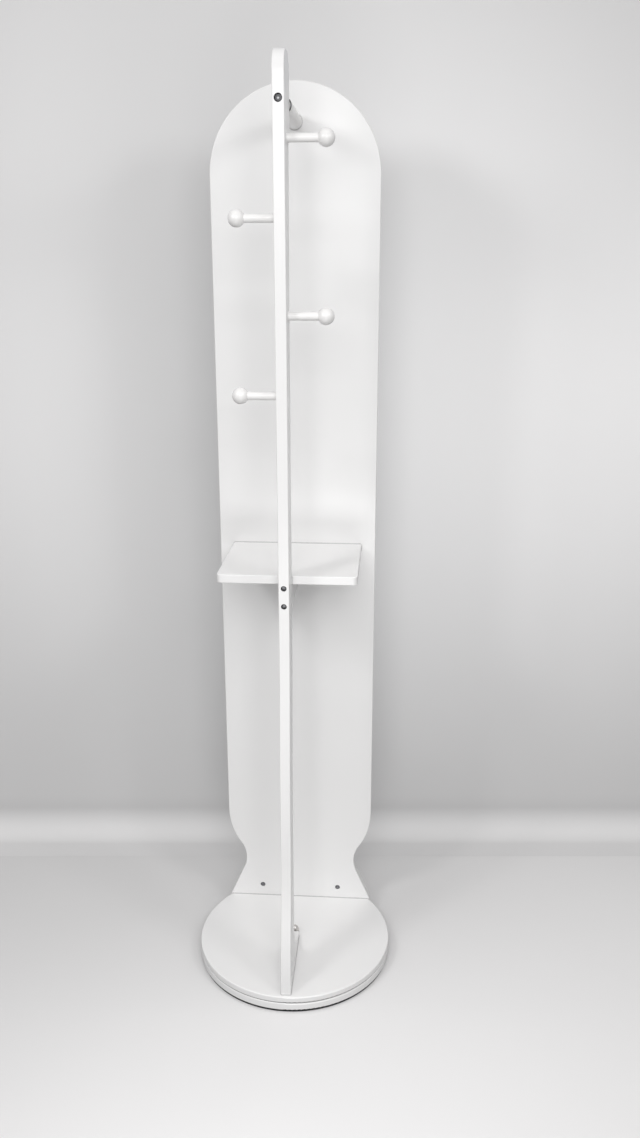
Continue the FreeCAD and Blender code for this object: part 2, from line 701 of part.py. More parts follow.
def make_upright_post():
    """Flat upright: deep head, slim shaft, a bend at the knee and a foot with toe and heel."""
    body = new_body("upright_post", z="deck")
    sketch = new_sketch(body, "YZ_Plane")
    head_foot = "post_height - head_length"
    collar = "post_height - collar_length"
    taper = "post_height - taper_length"
    corner = "post_height - post_top_radius"
    outline(sketch, [
        ("-toe_front", "0"),
        ("-heel_gap", "0"),
        ("-heel_gap", "toe_height - heel_round", "heel_round", 1),
        ("-heel_gap - heel_round", "toe_height", "heel_radius", -1),
        ("-knee_rear", "toe_height + heel_radius"),
        *sweep(("-knee_rear", "knee_height"), ("-post_rear", "bend_height")),
        ("-post_rear", "bend_height"),
        *sweep(("-post_rear", taper), ("-collar_rear", collar)),
        *sweep(("-collar_rear", collar), ("-head_rear", head_foot)),
        ("-head_rear", head_foot),
        ("-head_rear", corner, "post_top_radius", 1),
        ("-head_rear - post_top_radius", "post_height"),
        ("post_top_radius - post_front", "post_height", "post_top_radius", 1),
        ("-post_front", corner),
        *sweep(("-post_front", "bend_height"), ("-knee_front", "knee_height")),
        ("-knee_front", "knee_height"),
        *sweep(("-knee_front", "toe_sweep"), ("-toe_front", "toe_height")),
        ("-toe_front", "toe_height"),
    ])
    pad(body, sketch, "post_thickness", centred=True)
    side = number("post_thickness / 2")
    round_edges(body, "post_edge_round",
                lambda edge: in_plane(edge, "X", -side, side) and edge.BoundBox.ZMax > 1)
    bolts = ["-post_bolt_front", "post_bolt_spread - post_bolt_front"]
    drill(body, "XY_Plane", [("0", y) for y in bolts], "bolt_hole", "base_bolt_bore",
          reverse=True)
    drill(body, "YZ_Plane", [(y, "barrel_height") for y in bolts], "barrel_hole",
          "barrel_bore + barrel_sunk", lift="post_thickness / 2")
    shelf_bolts = [("0", "shelf_bolt_level"), ("0", "rail_bolt_level")]
    drill(body, "XZ_Plane", shelf_bolts, "bolt_hole", "post_depth", lift="post_front")
    drill(body, "XZ_Plane", shelf_bolts, "shelf_bolt_head + 2 * hole_clearance",
          "bolt_head_height + head_sunk", lift="post_front")
    rod_bolt = [("0", "rod_height")]
    drill(body, "XZ_Plane", rod_bolt, "bolt_hole", "head_depth", lift="post_front")
    drill(body, "XZ_Plane", rod_bolt, "rod_bolt_head + 2 * hole_clearance",
          "bolt_head_height + head_sunk", lift="post_front")
    drill(body, "YZ_Plane", peg_places("right"), "peg_screw_hole",
          "peg_screw_in_post + bore_end", lift="post_thickness / 2")
    drill(body, "YZ_Plane", peg_places("left"), "peg_screw_hole",
          "peg_screw_in_post + bore_end", lift="-post_thickness / 2", reverse=True)


# ---------------------------------------------------------------- shelf

def make_shelf():
    """Shelf with round front corners, between the upright and the board."""
    body = new_body("shelf", z="deck + shelf_foot")
    sketch = new_sketch(body, "XY_Plane")
    side = "shelf_width / 2"
    outline(sketch, [
        (side, "board_face"),
        (f"-{side}", "board_face"),
        (f"-{side}", "shelf_corner - post_rear", "shelf_corner", 1),
        (f"shelf_corner - {side}", "-post_rear"),
        (f"{side} - shelf_corner", "-post_rear", "shelf_corner", 1),
        (side, "shelf_corner - post_rear"),
    ])
    pad(body, sketch, "shelf_thickness")
    top = number("shelf_thickness")
    rear = number("board_face")
    round_edges(body, "shelf_edge_round",
                lambda edge: in_plane(edge, "Z", 0, top) and not in_plane(edge, "Y", rear))
    drill(body, "XZ_Plane", [("0", "shelf_thickness / 2")], "bolt_hole", "shelf_bolt_bore",
          lift="post_rear")
    drill(body, "XY_Plane", [("0", "shelf_nut_place")], "barrel_hole", "barrel_bore",
          reverse=True)
    cams = both_sides("cam_spread / 2", "board_face - cam_distance")
    drill(body, "XY_Plane", cams, "cam_diameter + 2 * hole_clearance", "cam_depth", reverse=True)
    drill(body, "XZ_Plane", both_sides("cam_spread / 2", "shelf_thickness / 2"), "cam_bolt_bore",
          "cam_distance", lift="-board_face", reverse=True)


def make_shelf_rail():
    """Upright rail under the middle of the shelf."""
    body = new_body("shelf_rail", z="deck + shelf_foot - rail_height")
    sketch = new_sketch(body, "XY_Plane")
    side = "rail_thickness / 2"
    outline(sketch, [
        (f"-{side}", "-post_rear"),
        (side, "-post_rear"),
        (side, "board_face"),
        (f"-{side}", "board_face"),
    ])
    pad(body, sketch, "rail_height")
    width = number("rail_thickness")
    round_edges(body, "shelf_edge_round",
                lambda edge: in_plane(edge, "Z", 0) and edge.BoundBox.YLength > width)
    level = "rail_bolt_level - shelf_foot + rail_height"
    drill(body, "XZ_Plane", [("0", level)], "bolt_hole", "shelf_bolt_bore", lift="post_rear")
    drill(body, "YZ_Plane", [("shelf_nut_place", level)], "barrel_hole", "barrel_bore",
          lift=f"-{side}", reverse=True)
    dowels = [("0", f"rail_height / 2 {sign} rail_dowel_spread / 2") for sign in "+-"]
    drill(body, "XZ_Plane", dowels, "dowel_hole", "dowel_length - dowel_in_board + bore_end",
          lift="-board_face", reverse=True)


# ---------------------------------------------------------------- bolts, nuts and dowels

def make_bolt(body, head, length):
    """Bolt along the body's Z axis: its flat head starts at 0, its length is over all."""
    shape = turned(body, [
        ("0", "0"),
        (f"{head} / 2 - bolt_head_rim", "0"),
        (f"{head} / 2", "bolt_head_rim"),
        (f"{head} / 2", "bolt_head_height"),
        ("bolt_diameter / 2", "bolt_head_height"),
        ("bolt_diameter / 2", length),
        ("0", length),
    ])
    socket = body.newObject("PartDesign::SubtractivePrism", body.Name + "_socket")
    socket.Polygon = 6
    socket.setExpression("Circumradius", bound("socket_width / 2 / cos(30)"))
    socket.setExpression("Height", bound("bolt_head_height * 2 / 3"))
    doc.recompute()
    return [shape, socket]


def add_slot(body, length):
    """Screwdriver slot across the body's end at 0."""
    sketch = new_sketch(body, "XY_Plane")
    outline(sketch, [
        (f"-{length} / 2", "-slot_width / 2"),
        (f"{length} / 2", "-slot_width / 2"),
        (f"{length} / 2", "slot_width / 2"),
        (f"-{length} / 2", "slot_width / 2"),
    ])
    return pocket(body, sketch, "slot_width", reverse=True)


def make_barrel(body, level):
    """Barrel nut along the body's Z axis, its slotted end at 0, cross-drilled at a level."""
    shape = disc(body, "barrel_diameter", "barrel_length")
    slot = add_slot(body, "2 * barrel_diameter")
    bore = drill(body, "XZ_Plane", [("0", level)], "bolt_hole", "2 * barrel_diameter",
                 centred=True)
    return [shape, slot, bore]


def make_board_fasteners():
    """Bolts and dowels up into the board, barrel nuts in its front face."""
    left = "-board_bolt_spread / 2"
    length = "turntable_thickness + barrel_height + bolt_end"
    bolts = new_body("board_bolts", x=left, y="board_middle", z="turntable_foot")
    in_row(bolts, make_bolt(bolts, "base_bolt_head", length), "X_Axis", "board_bolt_spread")
    nuts = new_body("board_barrel_nuts", x=left, y="board_face + barrel_sunk",
                    z="deck + barrel_height", turn=TO_REAR)
    nut = make_barrel(nuts, "board_thickness / 2 - barrel_sunk")
    in_row(nuts, nut, "X_Axis", "board_bolt_spread")
    dowels = new_body("board_dowels", x="-board_dowel_spread / 2", y="board_middle",
                      z="deck - dowel_in_disc")
    dowel = bar(dowels, "dowel_diameter", "dowel_length", "dowel_chamfer")
    in_row(dowels, [dowel], "X_Axis", "board_dowel_spread")


def make_post_fasteners():
    """Bolts up into the upright, barrel nuts in its right face."""
    length = "turntable_thickness + barrel_height + bolt_end"
    bolts = new_body("post_bolts", y="-post_bolt_front", z="turntable_foot")
    in_row(bolts, make_bolt(bolts, "base_bolt_head", length), "Y_Axis", "post_bolt_spread")
    nuts = new_body("post_barrel_nuts", x="post_thickness / 2 - barrel_sunk",
                    y="-post_bolt_front", z="deck + barrel_height", turn=TO_LEFT_ROLLED)
    nut = make_barrel(nuts, "post_thickness / 2 - barrel_sunk")
    in_row(nuts, nut, "X_Axis", "post_bolt_spread")


def make_shelf_fasteners():
    """Bolts through the upright into shelf and rail, dowels from the rail into the board."""
    bolts = new_body("shelf_bolts", y="head_sunk - post_front", z="deck + shelf_bolt_level",
                     turn=TO_REAR)
    length = "post_depth - head_sunk + shelf_nut_depth + bolt_end"
    in_row(bolts, make_bolt(bolts, "shelf_bolt_head", length), "Y_Axis", "shelf_bolt_spread")
    shelf_nut = new_body("shelf_barrel_nut", y="shelf_nut_place", z="deck + shelf_foot")
    make_barrel(shelf_nut, "shelf_thickness / 2")
    rail_nut = new_body("rail_barrel_nut", x="-rail_thickness / 2", y="shelf_nut_place",
                        z="deck + rail_bolt_level", turn=TO_RIGHT)
    make_barrel(rail_nut, "rail_thickness / 2")
    dowels = new_body("rail_dowels", y="board_face + dowel_in_board",
                      z="deck + rail_middle - rail_dowel_spread / 2", turn=TO_FRONT)
    dowel = bar(dowels, "dowel_diameter", "dowel_length", "dowel_chamfer")
    in_row(dowels, [dowel], "Y_Axis", "rail_dowel_spread")


def make_cam_fittings():
    """Cam locks in the underside of the shelf, and the bolts that they pull."""
    locks = new_body("shelf_cam_locks", x="-cam_spread / 2", y="board_face - cam_distance",
                     z="deck + shelf_foot")
    lock = disc(locks, "cam_diameter", "cam_depth")
    slot = add_slot(locks, "cam_diameter / 2")
    mouth = drill(locks, "XZ_Plane", [("0", "shelf_thickness / 2")], "cam_bolt_bore",
                  "cam_diameter", lift="bore_end")
    in_row(locks, [lock, slot, mouth], "X_Axis", "cam_spread")
    bolts = new_body("shelf_cam_bolts", x="-cam_spread / 2", y="board_face + cam_bolt_in_board",
                     z="deck + shelf_bolt_level", turn=TO_FRONT)
    length = "(cam_bolt_in_board + cam_distance)"
    neck = f"{length} - cam_bolt_head_length"
    bolt = turned(bolts, [
        ("0", "0"),
        ("cam_bolt_diameter / 2", "0"),
        ("cam_bolt_diameter / 2", neck),
        ("cam_bolt_head / 2", neck),
        ("cam_bolt_head / 2", length),
        ("0", length),
    ])
    in_row(bolts, [bolt], "X_Axis", "cam_spread")


# ---------------------------------------------------------------- hanging rod

def make_hanging_rod():
    """Rod with a narrower front end for its rubber ring, and a chamfer at the board."""
    body = new_body("hanging_rod", y="-head_rear", z="deck + rod_height", turn=TO_REAR)
    turned(body, [
        ("0", "0"),
        ("rod_ring_bore / 2", "0"),
        ("rod_ring_bore / 2", "rod_ring_thickness"),
        ("rod_diameter / 2", "rod_ring_thickness"),
        ("rod_diameter / 2", "rod_length - rod_chamfer"),
        ("rod_diameter / 2 - rod_chamfer", "rod_length"),
        ("0", "rod_length"),
    ])
    centre = [("0", "0")]
    drill(body, "XY_Plane", centre, "insert_diameter + 2 * hole_clearance",
          "insert_length + bore_end", reverse=True)
    drill(body, "XY_Plane", centre, "rod_screw_hole", "rod_screw_in_rod + bore_end",
          lift="rod_length")


def make_rod_ring():
    """Rubber ring between the upright and the shoulder of the rod."""
    body = new_body("rod_ring", y="-head_rear", z="deck + rod_height", turn=TO_REAR)
    disc(body, "rod_ring_diameter", "rod_ring_thickness", bore="rod_ring_bore")


def make_rod_fasteners():
    """Bolt through the head of the upright into the rod's insert, dowel screw at the board."""
    bolt = new_body("rod_front_bolt", y="head_sunk - post_front", z="deck + rod_height",
                    turn=TO_REAR)
    make_bolt(bolt, "rod_bolt_head", "head_depth - head_sunk + insert_length - bore_end")
    insert = new_body("rod_insert_nut", y="-head_rear", z="deck + rod_height", turn=TO_REAR)
    disc(insert, "insert_diameter", "insert_length", bore="bolt_hole")
    screw = new_body("rod_dowel_screw", y="board_face - rod_screw_in_rod", z="deck + rod_height",
                     turn=TO_REAR)
    bar(screw, "rod_screw_diameter", "rod_screw_in_rod + rod_screw_in_board", "dowel_chamfer")


# ---------------------------------------------------------------- pegs

def make_peg(side, level):
    """Turned stem with a flared foot against the upright, and the ball on its end."""
    sign = "" if side == "right" else "-"
    turn = TO_RIGHT if side == "right" else TO_LEFT
    height = f"deck + {side}_{level}_peg"
    stem = new_body(f"peg_stem_{side}_{level}", x=f"{sign}post_thickness / 2", y="-peg_front",
                    z=height, turn=turn)
    flare = "((peg_foot_diameter - peg_diameter) / 2)"
    hollow = f"({flare} * {flare} + peg_foot_length * peg_foot_length) / (2 * {flare})"
    turned(stem, [
        ("0", "0"),
        ("peg_foot_diameter / 2", "0", hollow, -1),
        ("peg_diameter / 2", "peg_foot_length"),
        ("peg_diameter / 2", "peg_length"),
        ("0", "peg_length"),
    ])
    drill(stem, "XY_Plane", [("0", "0")], "peg_screw_hole", "peg_screw_in_stem + bore_end",
          reverse=True)
    ball = new_body(f"peg_ball_{side}_{level}", x=f"{sign}peg_reach", y="-peg_front", z=height,
                    turn=turn)
    turned(ball, [
        ("0", "-peg_ball / 2", "peg_ball / 2", 1),
        ("peg_ball / 2", "0", "peg_ball / 2", 1),
        ("0", "peg_ball / 2"),
    ])
    drill(ball, "XY_Plane", [("0", "0")], "peg_diameter + 2 * hole_clearance", "peg_seat",
          lift="-peg_ball / 2", reverse=True)


def make_peg_screws():
    """Dowel screws that hold the stems to the upright."""
    body = new_body("peg_dowel_screws", z="deck")
    inner = "(post_thickness / 2 - peg_screw_in_post)"
    for side, lift in (("right", inner), ("left", f"-{inner}")):
        sketch = new_sketch(body, "YZ_Plane", lift)
        for y, z in peg_places(side):
            circle(sketch, y, z, "peg_screw_diameter")
        pad(body, sketch, "peg_screw_in_post + peg_screw_in_stem", reverse=side == "left")


# ---------------------------------------------------------------- the whole stand

make_anti_slip_ring()
make_floor_disc()
make_bearing_plate("bearing_lower_plate", "bearing_foot", "lower_screw_circle")
make_plate_screws("lower_plate_screws", "bearing_foot", "lower_screw_circle")
make_pivot_bolt()
make_pivot_washer()
make_pivot_cap_nut()
make_cage_ring()
make_bearing_balls()
make_turntable_disc()
make_bearing_plate("bearing_upper_plate", "turntable_foot", "upper_screw_circle", UPSIDE_DOWN)
make_plate_screws("upper_plate_screws", "turntable_foot", "upper_screw_circle", UPSIDE_DOWN)
make_pivot_bush()
make_back_board()
make_mirror_panel()
make_mirror_tapes()
make_upright_post()
make_board_fasteners()
make_post_fasteners()
make_shelf()
make_shelf_rail()
make_shelf_fasteners()
make_cam_fittings()
make_hanging_rod()
make_rod_ring()
make_rod_fasteners()
for peg_side in ("right", "left"):
    for peg_level in ("upper", "lower"):
        make_peg(peg_side, peg_level)
make_peg_screws()

doc.recompute()
for item in doc.Objects:
    if {"Invalid", "Error"} & set(item.State):
        raise RuntimeError(f"{item.Label} failed: {item.State}")
for body in bodies:
    if body.Shape.isNull() or not body.Shape.isValid():
        raise RuntimeError(f"{body.Label} has no valid shape")

os.makedirs("parts", exist_ok=True)
for body in bodies:
    body.Shape.exportStep(f"parts/{body.Label}.step")
    print(f"{body.Label}: {len(body.Shape.Solids)} solids, {body.Shape.Volume / 1000:.2f} cm3")
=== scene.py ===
import json
import math

import bpy
from bpy.props import FloatProperty, FloatVectorProperty, IntProperty, PointerProperty
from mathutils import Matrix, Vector

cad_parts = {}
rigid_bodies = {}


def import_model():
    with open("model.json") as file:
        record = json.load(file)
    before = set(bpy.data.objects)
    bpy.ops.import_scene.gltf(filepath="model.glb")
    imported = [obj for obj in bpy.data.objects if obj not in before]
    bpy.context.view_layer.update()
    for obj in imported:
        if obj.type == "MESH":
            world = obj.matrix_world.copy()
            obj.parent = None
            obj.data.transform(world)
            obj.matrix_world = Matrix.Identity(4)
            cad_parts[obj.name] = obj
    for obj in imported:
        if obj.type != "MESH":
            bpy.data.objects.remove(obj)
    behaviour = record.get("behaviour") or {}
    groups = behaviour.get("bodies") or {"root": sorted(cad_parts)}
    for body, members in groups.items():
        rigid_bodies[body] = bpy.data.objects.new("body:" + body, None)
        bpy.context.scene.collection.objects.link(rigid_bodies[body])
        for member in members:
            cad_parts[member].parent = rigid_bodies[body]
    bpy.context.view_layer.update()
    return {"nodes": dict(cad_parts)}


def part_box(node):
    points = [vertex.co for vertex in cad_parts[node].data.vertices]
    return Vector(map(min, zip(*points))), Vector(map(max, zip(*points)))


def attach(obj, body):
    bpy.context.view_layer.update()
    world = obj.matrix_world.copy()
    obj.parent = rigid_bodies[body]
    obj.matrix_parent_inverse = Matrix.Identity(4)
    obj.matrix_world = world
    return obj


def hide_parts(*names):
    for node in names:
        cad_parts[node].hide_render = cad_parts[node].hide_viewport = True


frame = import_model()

bl_info = {
    "name": "Revolving hall stand",
    "version": (1, 0, 0),
    "blender": (4, 5, 0),
    "location": "3D View > Sidebar > Hall stand",
    "description": "Dresses a revolving coat stand with a mirror, and its studio",
    "category": "Object",
}

# Metres, the origin on the floor under the base, the narrow upright in front (-Y).
LACQUERED_BOARDS = ("floor_disc", "turntable_disc", "back_board", "upright_post", "shelf",
                    "shelf_rail")
PEGS = ("right_upper", "right_lower", "left_upper", "left_lower")
ZINC_PARTS = ("lower_plate_screws", "upper_plate_screws", "pivot_bolt", "pivot_washer",
              "board_bolts", "post_bolts", "shelf_barrel_nut", "rail_barrel_nut",
              "shelf_cam_locks", "shelf_cam_bolts", "rod_dowel_screw", "peg_dowel_screws")

# Sizes of the pieces that are modelled here.
MIRROR_CORNER = 0.012
RING_WIDTH = 0.024
RING_LIP = 0.0008
GROOVE_DEPTH = 0.0012
BOLT_SHANK = 0.006
BOLT_HEAD_HEIGHT = 0.003
BOLT_HEAD_RIM = 0.0008
BOLT_HEAD_DISH = 0.0002
BOLT_HEAD_EASE = 0.00015
ROD_BOLT_SOCKET = 0.0032
SHELF_BOLT_SOCKET = 0.005
SOCKET_DEPTH = 0.00225
PIVOT_BORE = 0.0082
BORE_SPARE = 0.0005
BARREL_DIAMETER = 0.010
BARREL_CHAMFER = 0.0006
BARREL_DIMPLE = 0.0016
SLOT_WIDTH = 0.0012
SLOT_DEPTH = 0.0008
CUT_SPARE = 0.0001

# The camera's place and turn. The focal length is a share of the frame's height.
SENSOR = 36.0
FOCAL_SHARE = 990 / 1138
CAMERA_PLACE = (0.1652, -1.6580, 1.2992)
CAMERA_PITCH = math.radians(90 - 17.12)
CAMERA_ROLL = math.radians(0.02)
CAMERA_YAW = math.radians(3.97)

# Each lamp's place, the point it faces, its width and its height.
LAMPS = {
    "key": ((-0.9, -1.2, 1.9), (0, 0, 0.3), 0.35, 0.35),
    "fill": ((1.2, -1.1, 1.9), (0, 0, 0.3), 0.35, 0.35),
    "front": ((0.2, -1.7, 1.7), (0, 0, 0.6), 1.0, 0.6),
    "foot": ((0.15, -1.45, 0.4), (0, -0.15, 0.15), 0.7, 0.3),
}

# Studio papers with painted light and shade. A pool is a middle, a stretch along the axes, a
# reach in metres, the tone in its middle and the tone around it; above 1 it paints light, below
# 1 painted shade.
FLOOR_RADIUS = 9
FLOOR_TONE = (0.728, 0.724, 0.726)
# Painted light on the floor: a pool in front of the stand, one to its right and a paler band
# towards the wall.
FLOOR_LIGHT_POOLS = (
    ((0, -0.6, 0), (1, 1, 1), 1.3, 1.12, 0.9),
    ((0.75, 0.1, 0), (1, 1, 1), 0.9, 1.16, 1.0),
    ((0, 0.35, 0), (0, 1, 0), 0.5, 1.05, 1.0),
)
WALL_WIDTH = 7.0
WALL_RISE = 4.2
WALL_FOOT = 0.05
WALL_LIFT = 0.0004
WALL_TONE = (0.84, 0.836, 0.839)
# Painted light and shade on the wall: a pool of light right of the middle, darker around it; the
# stand's painted shadow to its left; a paler patch high up; painted shade along the cove at the
# floor.
WALL_LIGHT_AND_SHADOW_POOLS = (
    ((0.42, 0.45, 1.02), (0.42, 0, 1), 0.98, 1.2, 0.87),
    ((-0.22, 0.45, 1.0), (1, 0, 0.35), 0.42, 0.76, 1.0),
    ((-0.1, 0.45, 1.85), (0.4, 0, 1), 0.6, 1.2, 1.0),
    ((0, 0, 0.05), (0, 0, 1), 0.05, 0.94, 1.0),
)
PAPER_BOUNCE = 0.4


# ---------------------------------------------------------------- settings

class HallStandSettings(bpy.types.PropertyGroup):
    """Sizes and colours that a user may change"""
    board_colour: FloatVectorProperty(
        name="Board lacquer", description="Colour of the lacquered boards", subtype="COLOR",
        size=3, min=0, max=1, default=(0.822, 0.819, 0.817))
    wood_colour: FloatVectorProperty(
        name="Peg lacquer", description="Colour of the pegs and the hanging rod",
        subtype="COLOR", size=3, min=0, max=1, default=(0.825, 0.818, 0.812))
    gloss: FloatProperty(
        name="Lacquer roughness", description="Mean roughness of the satin lacquer",
        min=0.1, max=0.9, default=0.36)
    peel_size: FloatProperty(
        name="Lacquer ripple", description="Width of one ripple of the sprayed lacquer",
        unit="LENGTH", min=0.0005, max=0.02, default=0.003)
    mirror_arris: FloatProperty(
        name="Mirror arris", description="Ground bevel along the edge of the mirror glass",
        unit="LENGTH", min=0.0002, max=0.002, default=0.0009)
    tread_count: IntProperty(
        name="Ring grooves", description="Grooves in the sole of the anti-slip ring",
        min=1, max=12, default=5)
    thread_pitch: FloatProperty(
        name="Thread pitch", description="Pitch of the connecting bolts", unit="LENGTH",
        min=0.0005, max=0.002, default=0.001)
    wall_distance: FloatProperty(
        name="Backdrop distance", description="From the spin axis to the backdrop",
        unit="LENGTH", min=0.3, max=3, default=0.4245)
    cove_radius: FloatProperty(
        name="Cove", description="Radius in which the backdrop meets the floor",
        unit="LENGTH", min=0.01, max=1, default=0.062)
    side_level: FloatProperty(
        name="Side light", description="Level of the light from all sides",
        min=0, max=5, default=0.0)
    ceiling_level: FloatProperty(
        name="Ceiling light", description="Level of the light straight from above",
        min=0, max=5, default=1.05)
    key_power: FloatProperty(
        name="Key lamp", description="Power of the lamp on the left", unit="POWER",
        min=0, max=400, default=7.7)
    fill_power: FloatProperty(
        name="Fill lamp", description="Power of the lamp on the right", unit="POWER",
        min=0, max=400, default=5.1)
    front_power: FloatProperty(
        name="Front lamp", description="Power of the lamp above the camera", unit="POWER",
        min=0, max=400, default=11.6)
    foot_power: FloatProperty(
        name="Foot lamp", description="Power of the low lamp in front", unit="POWER",
        min=0, max=400, default=4.7)


def settings():
    return bpy.context.scene.hall_stand


# ---------------------------------------------------------------- node materials

def add(tree, kind, values=None, **attributes):
    """Add a shader node. Its inputs are given by name or number: a socket is linked, any other
    value is set."""
    node = tree.nodes.new("ShaderNode" + kind)
    for name, value in attributes.items():
        setattr(node, name, value)
    for name, value in (values or {}).items():
        if isinstance(value, bpy.types.NodeSocket):
            tree.links.new(value, node.inputs[name])
        else:
            node.inputs[name].default_value = value
    return node


def new_material(name, **sockets):
    """An empty node material with a Principled shader; its fixed numbers are set on it."""
    material = bpy.data.materials.new(name)
    material.use_nodes = True
    tree = material.node_tree
    tree.nodes.clear()
    shader = add(tree, "BsdfPrincipled")
    output = add(tree, "OutputMaterial")
    tree.links.new(shader.outputs["BSDF"], output.inputs["Surface"])
    for socket, value in sockets.items():
        shader.inputs[socket.replace("_", " ")].default_value = value
    return material, tree, shader


def object_place(tree, scale=(1, 1, 1)):
    """Object coordinates, stretched along the axes."""
    place = add(tree, "TexCoord").outputs["Object"]
    return add(tree, "Mapping", {"Vector": place, "Scale": scale}).outputs["Vector"]


def noise(tree, place, size, detail=2.0, roughness=0.5):
    """Noise whose blots are about `size` metres wide, as a socket from 0 to 1."""
    values = {"Vector": place, "Scale": 1 / size, "Detail": detail, "Roughness": roughness}
    return add(tree, "TexNoise", values).outputs["Fac"]


def spread(tree, value, low, high, new_low=0.0, new_high=1.0):
    """Map low..high to new_low..new_high, held at both ends."""
    values = {"Value": value, "From Min": low, "From Max": high, "To Min": new_low,
              "To Max": new_high}
    return add(tree, "MapRange", values).outputs["Result"]


def mix_colour(tree, share, first, second):
    """Blend two colours by a share from 0 to 1."""
    values = {0: share, 6: first, 7: second}
    return add(tree, "Mix", values, data_type="RGBA").outputs[2]


def maths(tree, operation, first, second=0.0):
    return add(tree, "Math", {0: first, 1: second}, operation=operation).outputs[0]


def bump(tree, height, distance, strength=1.0, normal=None):
    """Normal of a relief whose full height is `distance` metres."""
    values = {"Height": height, "Distance": distance, "Strength": strength}
    if normal:
        values["Normal"] = normal
    return add(tree, "Bump", values).outputs["Normal"]


def edge_share(tree, radius):
    """1 on an outer edge, 0 on flat ground."""
    soft = add(tree, "Bevel", {"Radius": radius}, samples=4).outputs["Normal"]
    sharp = add(tree, "NewGeometry").outputs["Normal"]
    turn = add(tree, "VectorMath", {0: soft, 1: sharp}, operation="DOT_PRODUCT").outputs["Value"]
    return spread(tree, turn, 0.995, 0.93)


def joint_shade_share(tree, reach):
    """Painted shade: 1 deep in a joint between two pieces, 0 in the open, from how shut in the
    point is.
    """
    values = {"Distance": reach}
    open_sky = add(tree, "AmbientOcclusion", values, samples=8).outputs["AO"]
    return spread(tree, open_sky, 0.85, 0.5)


def shade(colour, factor):
    return tuple(channel * factor for channel in colour[:3]) + (1.0,)


def lacquer(name, colour, gloss, ripple, stretch=(1, 1, 1)):
    """Sprayed satin lacquer: faint clouds, orange peel and dust specks, with a painted highlight
    along the edges, in patches, and painted shade in the joints."""
    material, tree, shader = new_material(name, Coat_Weight=0.25, Coat_Roughness=0.22,
                                          Specular_IOR_Level=0.45)
    place = object_place(tree, stretch)
    cloud = noise(tree, place, 0.22, detail=3)
    tone = mix_colour(tree, cloud, shade(colour, 0.975), shade(colour, 1.015))
    edge = edge_share(tree, 0.0016)
    # Painted highlight: the edges are painted brighter than the lacquer, in patches.
    edge_highlight = maths(tree, "MULTIPLY", edge, spread(tree, noise(tree, place, 0.03), 0.3, 0.6))
    tone = mix_colour(tree, maths(tree, "MULTIPLY", edge_highlight, 0.8), tone, shade(colour, 1.14))
    speck = add(tree, "TexVoronoi", {"Vector": place, "Scale": 55.0}).outputs["Distance"]
    dust = spread(tree, speck, 0.035, 0.015)
    tone = mix_colour(tree, maths(tree, "MULTIPLY", dust, 0.18), tone, shade(colour, 0.7))
    # Painted shade: the lacquer is painted darker deep in the joints between pieces.
    tone = mix_colour(tree, joint_shade_share(tree, 0.0035), tone, shade(colour, 0.55))
    tree.links.new(tone, shader.inputs["Base Color"])
    haze = noise(tree, place, 0.06, detail=4)
    rough = spread(tree, haze, 0.3, 0.7, gloss - 0.05, gloss + 0.06)
    tree.links.new(maths(tree, "SUBTRACT", rough, maths(tree, "MULTIPLY", edge, 0.06)),
                   shader.inputs["Roughness"])
    peel = noise(tree, place, ripple, detail=1)
    grit = noise(tree, place, ripple / 6, detail=2)
    relief = bump(tree, peel, 0.00004)
    tree.links.new(bump(tree, grit, 0.000008, normal=relief), shader.inputs["Normal"])
    return material


def plated_metal(name, colour, roughness, brushed=(1, 1, 1), scratches=0.5):
    """Plated steel or brass: blotchy plating, fine scratches, brighter edges."""
    material, tree, shader = new_material(name, Metallic=1.0)
    place = object_place(tree, brushed)
    blot = noise(tree, place, 0.004, detail=3)
    tone = mix_colour(tree, blot, shade(colour, 0.82), shade(colour, 1.1))
    edge = edge_share(tree, 0.0006)
    tone = mix_colour(tree, maths(tree, "MULTIPLY", edge, 0.5), tone, shade(colour, 1.3))
    tree.links.new(tone, shader.inputs["Base Color"])
    scratch = noise(tree, place, 0.0006, detail=4, roughness=0.7)
    rough = spread(tree, scratch, 0.3, 0.7, roughness * 0.75, roughness * 1.3)
    tree.links.new(rough, shader.inputs["Roughness"])
    tree.links.new(bump(tree, scratch, 0.00002, scratches), shader.inputs["Normal"])
    return material


def moulded(name, colour, roughness, grain, depth):
    """Rubber, foam or nylon: a matt grained skin with pale scuffs along the edges."""
    material, tree, shader = new_material(name, Specular_IOR_Level=0.4)
    place = object_place(tree)
    cloud = noise(tree, place, grain * 8, detail=3)
    tone = mix_colour(tree, cloud, shade(colour, 0.8), shade(colour, 1.2))
    edge = edge_share(tree, 0.0008)
    tone = mix_colour(tree, maths(tree, "MULTIPLY", edge, 0.3), tone, shade(colour, 1.6))
    tree.links.new(tone, shader.inputs["Base Color"])
    skin = noise(tree, place, grain, detail=3, roughness=0.6)
    rough = spread(tree, skin, 0.3, 0.7, roughness - 0.08, roughness + 0.08)
    tree.links.new(rough, shader.inputs["Roughness"])
    tree.links.new(bump(tree, skin, depth), shader.inputs["Normal"])
    return material


def bare_wood(name, colour):
    """Bare beech of the dowels: short dark flecks along the grain."""
    material, tree, shader = new_material(name, Specular_IOR_Level=0.25)
    place = object_place(tree, (1, 1, 0.12))
    fleck = noise(tree, place, 0.0012, detail=4, roughness=0.65)
    tone = mix_colour(tree, spread(tree, fleck, 0.35, 0.7), shade(colour, 1.1),
                      shade(colour, 0.62))
    tree.links.new(tone, shader.inputs["Base Color"])
    tree.links.new(spread(tree, fleck, 0, 1, 0.6, 0.8), shader.inputs["Roughness"])
    tree.links.new(bump(tree, fleck, 0.00008), shader.inputs["Normal"])
    return material


